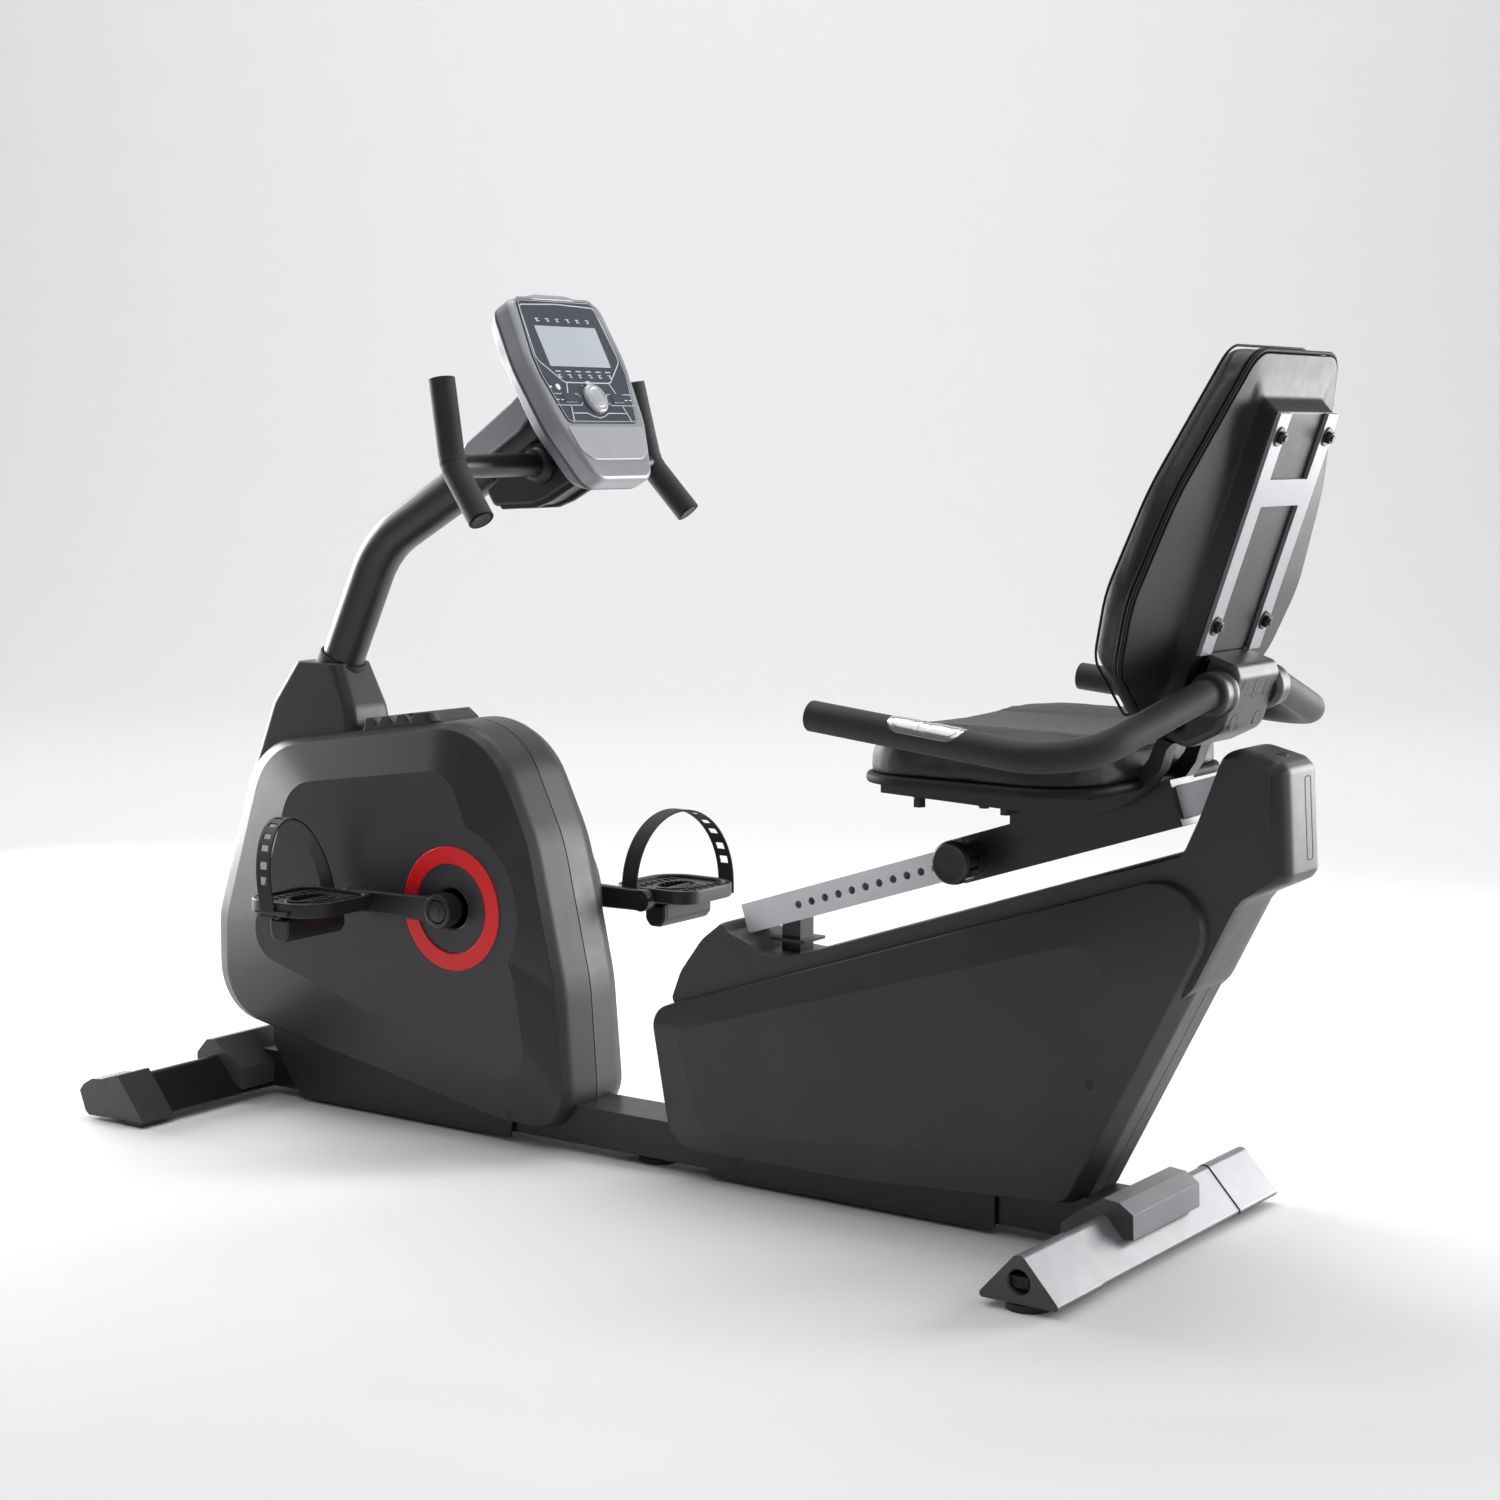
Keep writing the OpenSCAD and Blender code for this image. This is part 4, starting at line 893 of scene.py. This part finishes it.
def pedal(side, word):
    """A toothed platform with its bearing sleeve and the weight that keeps it level."""
    px = CRANK[0] + side * REACH
    tf = lambda u, v, h: W(px + u, side * v, CRANK[1] + h)
    plan = rounded([(-68, 122), (68, 122), (68, 256), (-68, 256)], [30, 30, 46, 46], 12)
    plan = dense(plan, 4)
    mid = V((0, 188))
    oval = [V((24 * math.cos(a), mid.y + 33 * math.sin(a)))
            for a in (math.atan2(q.y - mid.y, q.x) for q in plan)]
    wide = [mid + (q - mid) * 1.16 for q in oval]
    s = Shape()

    def ring(p, h):
        return [tf(q.x, q.y, h) for q in p]
    sec = [(inset(plan, 1.2), -4), (plan, -2.6), (plan, 12.6), (inset(plan, 0.8), 14.4),
           (inset(plan, 2.2), 15), (inset(plan, 4.6), 15), (inset(plan, 6), 14.2),
           (inset(plan, 6.6), 12.4), (inset(plan, 7.2), 10.6), (inset(plan, 14), 10.2),
           (wide, 10.2), (wide, 12.2), (oval, 12.2), (oval, 5), (wide, -3), (inset(plan, 9), -3),
           (inset(plan, 6), -4), (inset(plan, 1.2), -4)]
    s.loft([ring(p, h) for p, h in sec], cap0=False, cap1=False)

    def tooth(q, a, size, at):
        s.box((0, 0, 0), size, lambda u, v, h: tf(
            q.x + u * math.cos(a) - v * math.sin(a), q.y + u * math.sin(a) + v * math.cos(a),
            at + h), 0.5)
    teeth = dense(inset(dense(plan, 2), 7.6), 6.4)
    for i, q in enumerate(teeth):
        d = q - teeth[i - 1]
        tooth(q, math.atan2(d.y, d.x), (2.4, 3.2, 4.4), 12)
    for i in range(22):
        a = i * math.pi / 11
        tooth(V((22.4 * math.cos(a), mid.y + 31.2 * math.sin(a))), a, (3.4, 2.4, 4.5), 9.6)
    for sx in (-1, 1):
        for i in range(7):
            s.box((sx * 38, 146 + i * 14, 11), (15 - abs(i - 3) * 1.2, 3.2, 2.6), tf, 0.8)
    s.box((0, 188, 3), (11, 64, 6), tf, 1.5)
    bore = [(6.25, 122.4), (10.0, 122.4), (10.3, 123), (10.3, 251), (9.4, 252.4), (6.25, 252.4),
            (6.25, 122.4)]
    s.loft([[tf(q.x, y, q.y) for q in circle(r, 40)] for r, y in bore], cap0=False, cap1=False)
    weight = rounded([(-17, -9), (-17, -31), (-9, -41), (9, -41), (17, -31), (17, -9)],
                     [2, 10, 8, 8, 10, 2], 6)
    s.plate(dense(weight, 8), 137, 247, 3.5, lambda u, v, h: tf(u, h, v), n=4)
    for sx in (-1, 1):
        face = rounded([(143, -29), (241, -29), (241, -12), (143, -12)], 4, 5)
        s.plate(dense(face, 10), sx * 16.6, sx * 17.9, 0.7, lambda u, v, h: tf(h, u, v), n=2,
                m=1)
        s.box((sx * 24, 255.6, 1), (5, 2.6, 9), tf, 1)
    pin = lambda u, v, h: tf(h, 259.6 + u, 1 + v)
    s.turned([(0.01, -30), (2.4, -29.6), (2.6, -29), (2.6, 29), (2.4, 29.6), (0.01, 30)], pin, 20)
    s.piece("pedal-" + word, [M["dark"], M["weight"]], word + "_pedal", ["pedal_" + word],
            35)


def strap(side, word, skew, rake, off):
    """A slotted strap arched over a pedal, skewed and raked as it hangs."""
    px = CRANK[0] + side * REACH + off
    cols = [-13, -11.5, -6.6, 6.6, 11.5, 13]
    n, mid, foot = 60, 190, 11
    lo = math.asin(4 / (70 * 1.5))
    path = [(119.9, -6), (119.9, 2), (119.7, 9)]
    for i in range(n + 1):
        t = math.pi - lo - (math.pi - 2 * lo) * i / n
        path.append((mid + 70.2 * math.cos(t), foot + 70.2 * 1.52 * math.sin(t)))
    path += [(260.3, 9), (260.4, 2), (260.4, -6)]
    verts, faces = [], []
    for y, z in path:
        back = rake * max(0, z - foot)
        for c in cols:
            verts.append(W(px + c + skew * y - back, side * y, CRANK[1] + z))
    k = len(cols)
    # six slots in the middle column: the row of the first, the rows between two, the rows of one
    first, every, size = 34, 4.6, 2
    for i in range(len(path) - 1):
        slot = any(first + q * every <= i < first + q * every + size for q in range(6))
        for c in range(k - 1):
            if not (slot and c == 2):
                faces.append([i * k + c, i * k + c + 1, (i + 1) * k + c + 1, (i + 1) * k + c])
    ob = loose_object("strap-" + word, verts, faces)
    thickened(ob, 2.2, V((0, 0, 1)))
    mod = ob.modifiers.new("soft", "BEVEL")
    mod.width = 0.0004
    mod.segments = 2
    mod.limit_method = "ANGLE"
    mod.angle_limit = math.radians(50)
    applied(ob)
    finish_piece(ob, M["rubber"], word + "_pedal", ["strap_" + word], 40)


# ---------------------------------------------------------------- seat
def inflate(ob, cap, pinned):
    """Remeshes a pad, puffs it up as pressurised cloth and bakes it; capped in metres."""
    mod = ob.modifiers.new("even", "REMESH")
    mod.mode = "VOXEL"
    mod.voxel_size = 0.005
    applied(ob)
    me = ob.data
    base = [v.co.copy() for v in me.vertices]
    grp = ob.vertex_groups.new(name="held")
    grp.add([i for i, c in enumerate(base) if pinned(c)], 1.0, "REPLACE")
    mod = ob.modifiers.new("cloth", "CLOTH")
    c = mod.settings
    c.quality = 5
    c.mass = 0.35
    c.tension_stiffness = 18
    c.compression_stiffness = 18
    c.shear_stiffness = 8
    c.bending_stiffness = 1.2
    c.use_pressure = True
    c.uniform_pressure_force = 3.0
    c.vertex_group_mass = "held"
    c.effector_weights.gravity = 0
    mod.collision_settings.use_collision = False
    mod.point_cache.frame_start = 1
    mod.point_cache.frame_end = 20
    sc = bpy.context.scene
    for f in range(1, 21):
        sc.frame_set(f)
    dg = bpy.context.evaluated_depsgraph_get()
    new = ob.evaluated_get(dg).to_mesh()
    moved = [v.co.copy() for v in new.vertices]
    ob.evaluated_get(dg).to_mesh_clear()
    ob.modifiers.clear()
    ob.vertex_groups.clear()
    for v, a, b in zip(me.vertices, base, moved):
        d = b - a
        if d.length > cap:
            d = d.normalized() * cap
        v.co = a + d
    sc.frame_set(1)
    mod = ob.modifiers.new("even", "SMOOTH")
    mod.factor = 0.5
    mod.iterations = 4
    mod2 = ob.modifiers.new("sub", "SUBSURF")
    mod2.levels = 1
    mod2.render_levels = 1
    return applied(ob)


def seat_height(x, y):
    """Height of the seat's top: crowned, with a raised roll down each side."""
    rolls = 10.5 * bell(abs(y), 142, 42) * step(x, 405, 22) * step(x, 640, -20)
    return 617.5 + rolls + 2.5 * bell(x, 384, 26) - 5.0 * bell(x, 545, 90) * bell(y, 0, 105)


def seat_plan(g):
    plan = rounded([(362, -196), (676, -205), (676, 205), (362, 196)], [72, 78, 78, 72], 16)
    return inset(dense(plan, 9), g)


def seat():
    """The seat pad over its base lip, with the piping round its edge."""
    rings = []

    def ring(p, z):
        return [W(q.x, q.y, z) for q in p]
    for g, z in ((7.5, 566), (6.5, 566.5), (6, 568), (6, 590), (7.5, 601), (11, 608), (17, 612.5),
                 (26, 615)):
        rings.append(ring(seat_plan(g), z))
    c = V((520, 0))
    for f in (0.8, 0.66, 0.52, 0.38, 0.25, 0.12, 0.03):
        base = [c + (q - c) * f for q in seat_plan(10)]
        rings.append([W(q.x, q.y, seat_height(q.x, q.y) - 2) for q in base])
    s = Shape()
    s.loft(rings)
    ob = loose_object("seat-pad", s.v, s.f)
    inflate(ob, 0.004, lambda co: co.z < 0.570)
    seat_channels(ob)
    finish_piece(ob, [M["vinyl"]], "seat", ["seat_pad"], 60, flat=False)
    s = Shape()
    cord_pts = [(1.2, 557.2), (0.2, 559), (-0.4, 562), (0.2, 565), (1.6, 567.2), (4.4, 568.2),
                (7.5, 568.6), (9.5, 567), (9.5, 557.2)]
    rings = [ring(seat_plan(g), z) for g, z in cord_pts]
    rings.append(rings[0])
    s.loft(rings, cap0=False, cap1=False)
    s.loft([ring(seat_plan(4), 557.0), ring(seat_plan(4), 560)])
    cord(s, seat_plan(7.0), 604.3, 1.5, W)
    s.piece("seat-piping", M["piping"], "seat", angle=50)


def cord(s, plan, height, r, tf):
    """A closed piping cord of radius r along the outline plan."""
    rings = []
    for i, q in enumerate(plan):
        t = (plan[(i + 1) % len(plan)] - plan[i - 1]).normalized()
        rings.append([tf(q.x + t.y * w.x, q.y - t.x * w.x, height + w.y) for w in circle(r, 10)])
    s.loft(rings + rings[:1], cap0=False, cap1=False)


SEAM_W = 3.2


def seat_channels(ob):
    """Presses the sewn lines of the seat's centre panel into the finished mesh."""
    for v in ob.data.vertices:
        x, y, z = v.co.x * 1000 - SHIFT, v.co.y * 1000, v.co.z * 1000
        if z < 605:
            continue
        d = abs(abs(y) - (88 + 0.06 * (x - 400)))
        cut = 3.2 * bell(d, 0, SEAM_W) * step(x, 392, 6) * step(x, 650, -6)
        if abs(y) < 90:
            cut = max(cut, 2.6 * bell(x, 396 + 10 * math.cos(y / 60), SEAM_W))
        v.co.z -= cut / 1000


BACK_OUT = mirror2([(66, -142), (190, -62), (214, 20), (190, 140), (106, 306)])
BACK_R = [34, 60, 90, 200, 40, 40, 200, 90, 60, 34]


def back_plan(g):
    return inset(dense(rounded(BACK_OUT, BACK_R, 14), 9), g)


def back_local(co):
    """Across, up and out of the backrest for a point in metres."""
    x, z = co.x * 1000 - SHIFT - BACK_AT[0], co.z * 1000 - BACK_AT[2]
    return (co.y * 1000, x * math.sin(BT) + z * math.cos(BT), x * math.cos(BT) - z * math.sin(BT))


def backrest():
    """The backrest pad with its sewn lines and piping, then the shell and its fittings."""
    s = Shape()
    rings = []
    for g, n in ((7, -37.4), (5.5, -38), (5, -40), (4.5, -58), (6, -68), (10, -75), (18, -80),
                 (30, -83)):
        rings.append([BACK(q.x, q.y, n) for q in back_plan(g)])
    c = V((0, 90))
    for f in (0.8, 0.64, 0.48, 0.32, 0.18, 0.05):
        rings.append([BACK(q.x, q.y, -83 - 2.5 * (1 - f) + lumbar(q.x, q.y))
                      for q in (c + (p - c) * f for p in back_plan(10))])
    s.loft(rings)
    ob = loose_object("back-pad", s.v, s.f)
    inflate(ob, 0.0035, lambda co: back_local(co)[2] > -41)
    for v in ob.data.vertices:
        y, h, n = back_local(v.co)
        if n > -72:
            continue
        e = abs(y) - 108 + 0.14 * abs(h - 60)
        cut = 3.0 * bell(e, 0, SEAM_W) * step(h, 225, -8) * step(h, -85, 8)
        v.co.x += cut * math.cos(BT) / 1000
        v.co.z -= cut * math.sin(BT) / 1000
    finish_piece(ob, [M["vinyl"]], "seat", ["back_pad"], 60, flat=False)
    s = Shape()
    for g, n, r in ((0.8, -37.0, 2.2), (2.4, -42.4, 2.0), (6.2, -70.5, 1.5)):
        cord(s, back_plan(g), n, r, BACK)
    s.piece("back-piping", M["piping"], "seat", angle=50)
    shell()
    back_fittings()


def lumbar(y, h):
    """The swelling of the backrest's front for the small of the back."""
    return -3.5 * bell(h, 10, 75) * bell(y, 0, 120)


def shell():
    """The backrest's hard rear shell: a rim, a hollow flank and a flat spine for the strips."""
    plan = back_plan(3.5)
    spine = rounded(mirror2([(78, -118), (80, 246)]), [18, 10, 10, 18], 14)
    c = (0, 66)
    inner = follow(plan, spine, c)
    cols = []
    for p, q in zip(plan, inner):
        up = step(p.y, 235, 16)
        mid = p.lerp(q, 0.45)
        near = p.lerp(q, 0.82)
        flank = -31.0 + 4.0 * (1 - up)
        cols.append(bent([V((p.x, p.y, -36.2)), V((p.x, p.y, -33.4)), V((mid.x, mid.y, flank)),
                          V((near.x, near.y, -22 - 4 * up)), V((q.x, q.y, -5.4)),
                          V((q.x * 0.86, c[1] + (q.y - c[1]) * 0.95, -5.2))],
                         [1.5, 90, 12, 4], 7))
    s = Shape()
    s.loft([[BACK(*c2[i]) for c2 in cols] for i in range(len(cols[0]))])
    s.piece("back-shell", M["shell"], "seat", ["back_shell"], 32)


def back_fittings():
    """The two steel strips, their bolts, the cast clamp and the bar that it holds."""
    softened("back_frame", "seat", M["silver"], 0.8, 2)
    s = Shape()
    for y in (-63, 63):
        for h in (0, 220):
            tf = lambda u, v, n: BACK(y + u, h + v, n)
            s.turned([(11.2, -0.2), (11.2, 1.4), (10.6, 1.9), (7, 1.9)], tf, 40)
            s.plate(circle(7.6, 6), 1.7, 7.4, 1.0, tf, n=3)
            s.turned([(4.2, 6.6), (4.2, 8.6), (3.6, 9.2), (0.01, 9.2)], tf, 24)
            s.turned([(4, -30), (4, 0)], tf, 20)
    s.piece("back-bolts", M["black"], "seat", ["seat_bolts"], 35)
    s = Shape()
    body = rounded([(-5, -35), (34, -35), (43, -46), (43, -112), (10, -145), (-26, -145),
                    (-26, -127), (-5, -127)], [3, 10, 12, 26, 22, 4, 4, 6], 8)
    s.plate(dense(body, 8), -57, 57, 9, lambda u, v, h: BACK(h, v, u), n=7)
    for side in (-1, 1):
        tf = lambda u, v, h: BACK(side * h, -70.5 + v, 25.6 + u)
        s.turned([(22, 50), (26.5, 56), (26.6, 62), (25.2, 66), (24.6, 70), (25, 78), (24.6, 82),
                  (23, 84.4), (20.5, 85), (17.9, 85), (17.9, 80)], tf, 56)
    s.piece("bar-clamp", M["cast"], "seat", ["bar_clamp"], 40)
    s = Shape()
    for y, h, w, l in ((-30, -62, 7.5, 9.5), (30, -62, 7.5, 9.5), (0, -62, 4.2, 12),
                       (-30, -100, 7.5, 9), (30, -100, 7.5, 9)):
        tf = lambda u, v, n: BACK(y + u, h + v, 42.6 + n)
        p = rounded([(-w, -l), (w, -l), (w, l), (-w, l)], w * 0.96, 8)
        k = [[tf(q.x, q.y, n) for q in inset(p, g)]
             for g, n in ((-1.2, 0.1), (-0.9, 0.7), (-0.2, 0.7), (0.2, 0.3))]
        s.loft(k, cap0=False, cap1=False)
        # a near-black sheet down in each hole: painted shade for its depth
        s.loft([[tf(q.x, q.y, 0.30) for q in inset(p, 0.1)],
                [tf(q.x, q.y, 0.62) for q in inset(p, 0.2)]], m=1)
    s.piece("clamp-holes", [M["cast"], M["hole"]], "seat")
    s = Shape()
    bar = bent([(396, -312, 646), (729.5, -322, 613), (767.4, -96, 672), (767.4, 96, 672),
                (729.5, 322, 613), (396, 312, 646)], [90, 60, 60, 90], 18)
    s.tube(dense(bar, 10, closed=False), SEAT_BAR_R, ref=(0, 0, 1), sides=44, edge=3)
    end_discs(s, bar, [(13.2, -0.3), (13, 0.5), (12, 0.8), (9.6, 0.3), (0.01, 0.25)])
    s.piece("seat-bar", [M["foam"], M["rubber"]], "seat", ["seat_bar"], 50)


def pulse_grips():
    """Two rounded metal contacts on each arm of the bar, in a dark oval surround."""
    s = Shape()
    for side in (-1, 1):
        o, e = V((508, side * 315.4, 634.9)), V((594, side * 317.9, 626.4))
        ax = (e - o).normalized()
        up = (V((0, 0, 1)) - ax * ax.z).normalized()
        out = V((0, side, 0))
        out = (out - ax * out.dot(ax) - up * out.dot(up)).normalized()

        def tf(u, v, r):
            a = v / SEAT_BAR_R
            return W(*(o + ax * u + (up * math.cos(a) + out * math.sin(a)) * r))
        for x0, x1, ra, rb in ((0, 37, 15, 3), (49, 86, 3, 15)):
            pad = rounded([(x0, -14), (x1, -14), (x1, 20), (x0, 20)], [ra, rb, rb, ra], 8)
            patch(s, dense(pad, 2.5), tf, SEAT_BAR_R - 0.1, SEAT_BAR_R + 1.1, 0)
        surround = rounded([(-5, -18), (91, -18), (91, 24), (-5, 24)], 18, 10)
        patch(s, dense(surround, 2.5), tf, SEAT_BAR_R - 0.3, SEAT_BAR_R + 0.4, 1)
    s.piece("pulse-grips", [M["pulse"], M["rubber"]], "seat", ["pulse_plates"], 40)


def patch(s, outline, tf, r0, r1, m):
    """A patch laid round a bar: rings drawn in to the middle so that it follows the curve."""
    c = sum(outline, V((0, 0))) / len(outline)
    rings = [[tf(q.x, q.y, r) for q in outline] for r in (r0, r1 - 0.35)]
    for k in (0.96, 0.8, 0.6, 0.4, 0.2, 0.04):
        rings.append([tf(q.x, q.y, r1) for q in (c.lerp(p, k) for p in outline)])
    s.loft(rings, cap0=False, m=m)


def seat_frame():
    """The rail, the sleeve and bracket that slide on it, and the lock knob."""
    for node, width, segs in (("seat_sleeve", 2.4, 3), ("seat_bracket", 1.4, 2)):
        softened(node, "seat", M["post"], width, segs)
    softened("seat_rail", "frame", M["rail"], 1.2, 3)
    pulse_grips()
    s = Shape()
    for y in (-45, 45):
        for x in (372, 462):
            under = 527 - (x - 324) * 7 / 178
            tf = lambda u, v, h: W(x + u, y + v, under - h)
            s.turned([(8.5, -2), (8.5, 1), (7.8, 1.6), (6.4, 1.8), (5.8, 4), (0.01, 4.4)], tf, 32)
    s.piece("seat-screws", M["black"], "seat")
    # the plug in the rail's upper end
    s = Shape()
    s.box((414, 0, 0), (14, 34, 32), RAIL, 1.5)
    s.piece("rail-plug", M["dark"], "frame")
    # the lock knob, held out, on its fixed neck
    s = Shape()
    tf = lambda u, v, h: RAIL(41.5 + u, -h, v)
    s.turned([(15.2, 43), (15.5, 44), (15.5, 57), (14.6, 58), (4.9, 58), (4.9, 50)], tf, 40)
    s.piece("lock-neck", M["dark"], "seat")
    s = Shape()
    s.turned([(4.5, 21), (4.5, 73)], tf, 28)
    lobes = []
    for i in range(144):
        a = i * math.pi / 72
        w = max(0, math.cos(12 * a)) ** 6
        lobes.append(V(((26.8 - 3.0 * w) * math.cos(a), (26.8 - 3.0 * w) * math.sin(a))))
    smooth = circle(25.6, 144)

    def ring(p, h, k=1.0):
        return [tf(q.x * k, q.y * k, h) for q in p]
    s.loft([ring(smooth, 72, 0.05), ring(smooth, 72, 0.66), ring(smooth, 59, 0.66),
            ring(smooth, 58.5, 0.7), ring(smooth, 58.5, 0.9), ring(smooth, 59, 0.98),
            ring(lobes, 61), ring(lobes, 77),
            ring(lobes, 79.5, 0.985), ring(smooth, 81, 1.02), ring(smooth, 83.5, 1.0),
            ring(smooth, 85.6, 0.93), ring(smooth, 86.2, 0.86), ring(smooth, 85.4, 0.8),
            ring(smooth, 85.4, 0.3), ring(smooth, 85.4, 0.05)])
    s.piece("lock-knob", M["dark"], "lock", ["lock_knob"], 35)


# ---------------------------------------------------------------- floor frame
def floor_frame():
    """The beam and both stabilizers with everything that stands on the floor."""
    softened("main_beam", "frame", M["black"], 1.6, 2)
    softened("front_stabilizer", "frame", M["black"], 0.8, 2)
    softened("rear_stabilizer", "frame", M["grey"], 0.8, 2)
    tower()
    softened("mid_foot", "frame", M["rubber"], 1.4, 2)

    def pale(p):
        """The rear set's sloping faces are light grey, and its ends and the front set dark."""
        return int(p.center.x > 0 and abs(p.normal.y) < 0.6 and p.normal.z > -0.3)
    softened("saddle_covers", "frame", [M["saddle"], M["grey2"]], 4.0, 3, 25,
             mat_of=lambda p: pale(p) if p.center.x > 0.642 else 0)
    softened("end_caps", "frame", [M["cap"], M["grey"]], 1.6, 3, 25,
             mat_of=pale)
    softened("power_inlet", "frame", M["dark"], 0.5, 2)
    for word in ("left", "right"):
        softened("wheel_" + word, word + "_wheel", M["rubber"], 3, 3)
        softened("level_foot_" + word, word + "_level", M["rubber"], 0.9, 2)


def tower():
    """The rear tower and the long hood below the rail, with a crisp line round each side."""
    pts = [(-1, 234), (14, 272), (48, 317), (80, 342), (92, 330), (128, 318), (140, 309),
           (180, 307), (721, 488), (739, 527), (765, 597), (771, 604), (787, 610), (834, 599),
           (845, 588), (852, 470), (846, 461), (800, 439), (791, 429), (741, 330), (727, 318),
           (690, 318), (650, 396), (22, 196)]
    radii = [10, 60, 60, 6, 8, 8, 8, 8, 14, 60, 30, 20, 30, 20, 12, 10, 14, 20, 14, 60, 14, 4, 4, 4]
    line = dense(rounded(pts, radii, 6), 6)

    def ring(y, k):
        return [W(p.x, y, p.y) for p in inset(line, [w * k for w in widths], 0.6)]

    def ease(v):
        t = max(0, min(1, v))
        return t * t * (3 - 2 * t)
    widths = [2.2 + ease((q.y - 430) / 50) * (4.8 + 12 * ease((q.x - 745) / 90)) for q in line]
    s = Shape()
    steps = [(0, 0), (14, 0), (26, 0)]
    steps += [(50 - 22 * (1 - math.sin(a)), 1 - math.cos(a)) for a in (0.15, 0.4, 0.65, 0.9, 1.12)]
    steps += [(50, 0.76)]
    full = [(-y, k) for y, k in reversed(steps)] + steps[1:]
    s.loft([ring(y, k) for y, k in full])
    s.piece("tower-cover", M["cover"], "frame", ["tower_cover"], 16)
    s = Shape()
    # a near-black band on the tower's rear face: painted shade for the depth of its slot
    slot = rounded([(6, 484), (21, 484), (21, 578), (6, 578)], 4, 4)
    lean = lambda z: 852 - (z - 470) * 7 / 118
    s.ribbon(slot, 1.3, lambda u, v, h: W(lean(v) + h, u, v), -1, 0.25, closed=True)
    s.piece("tower-slot-shade", M["hole"], "frame")
    s = Shape()
    tf = lambda u, v, h: W(821 + u, v, 602.4 + h - u * 0.25)
    s.turned([(6.4, -1), (6.2, 0.5), (5.2, 0.6), (4.8, -0.6)], tf, 32)
    # the cap inside the well is near black: painted shade for the depth of the screw hole
    s.turned([(4.9, -0.4), (4.9, 0.1), (0.01, 0.1)], tf, 32, m=1)
    s.piece("tower-screw", [M["cover"], M["hole"]], "frame")


def hidden_parts():
    """Materials for the CAD nodes that are shown as they are."""
    plain = {"front_mast": "post", "drive_frame": "post", "frame_bolts": "steel",
             "circuit_board": "board", "crank_bearings": "steel", "flywheel_axle": "steel",
             "drive_belt": "rubber", "brake_servo": "dark", "crank_axle": "steel",
             "crank_pulley": "dark", "flywheel": "iron", "idler_wheel": "dark",
             "magnet_bracket": "steel"}
    for node, key in plain.items():
        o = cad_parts[node]
        o.data.materials.clear()
        o.data.materials.append(M[key])


covers()
collar_and_tray()
mast()
console()
cranks()
pedal(-1, "left")
pedal(1, "right")
strap(-1, "left", 0.154, 0.25, -49)
strap(1, "right", 0.46, 0, -86)
seat()
backrest()
seat_frame()
floor_frame()
hidden_parts()


# ---------------------------------------------------------------- floor, light and camera
def studio():
    """A paper sweep that curves up behind the bike, and soft lights that the camera can't see."""
    away, across = V((-0.5793, 0.8151, 0)), V((0.8151, 0.5793, 0))
    bend = [math.pi / 2 * i / 12 for i in range(1, 13)]
    prof = [(-9, 0), (6, 0)] + [(6 + 3 * math.sin(t), 3 * (1 - math.cos(t))) for t in bend]
    prof.append((9, 12))
    verts = [away * a + across * w + V((0, 0, z)) for a, z in prof for w in (-14, 14)]
    faces = [(2 * i, 2 * i + 1, 2 * i + 3, 2 * i + 2) for i in range(len(prof) - 1)]
    ob = loose_object("studio-floor", verts, faces)
    for p in ob.data.polygons:
        p.use_smooth = True
    ob.data.materials.append(M["floor"])
    for name, at, aim, size, size_y, power, spread in (
            ("top", (0.1, -0.2, 3.3), (0, 0, 0.3), 3.6, 3.0, 38, 180),
            ("floor front", (1.2, -2.6, 3.2), (0.8, -1.4, 0), 2.4, 2.4, 10, 180),
            ("front-left strip", (-3.1, 0.4, 1.0), (-0.4, 0.1, 0.7), 2.0, 1.6, 48, 110),
            ("rear-right strip", (1.9, 2.7, 1.0), (0.2, 0.1, 0.7), 1.8, 1.6, 38, 110),
            ("right strip", (3.3, 0.4, 1.2), (0.6, 0, 0.8), 1.0, 1.6, 5, 110),
            ("wall", (-1.5, 2.2, 6.5), (-4.4, 6.2, 0.6), 9.0, 3.0, 505, 180)):
        d = bpy.data.lights.new(name, "AREA")
        d.energy = power
        d.shape = "RECTANGLE"
        d.size, d.size_y = size, size_y
        d.spread = math.radians(spread)
        o = bpy.data.objects.new(name, d)
        bpy.context.scene.collection.objects.link(o)
        o.location = at
        o.visible_camera = False
        o.rotation_euler = (V(aim) - V(at)).to_track_quat("-Z", "Y").to_euler()
    world = bpy.context.scene.world or bpy.data.worlds.new("studio")
    bpy.context.scene.world = world
    world.use_nodes = True
    bg = world.node_tree.nodes["Background"]
    bg.inputs["Color"].default_value = (0.95, 0.96, 1.0, 1)
    bg.inputs["Strength"].default_value = 0.18
    bpy.context.scene.view_settings.view_transform = "Standard"


studio()

cam_data = bpy.data.cameras.new("camera")
cam_data.lens = 65.27
cam_data.sensor_width = 36
cam = bpy.data.objects.new("camera", cam_data)
bpy.context.scene.collection.objects.link(cam)
cam.location = (2.0931, -2.8099, 0.9565)
cam.rotation_euler = V((-0.5756, 0.8096, -0.1149)).to_track_quat("-Z", "Y").to_euler()
bpy.context.scene.camera = cam
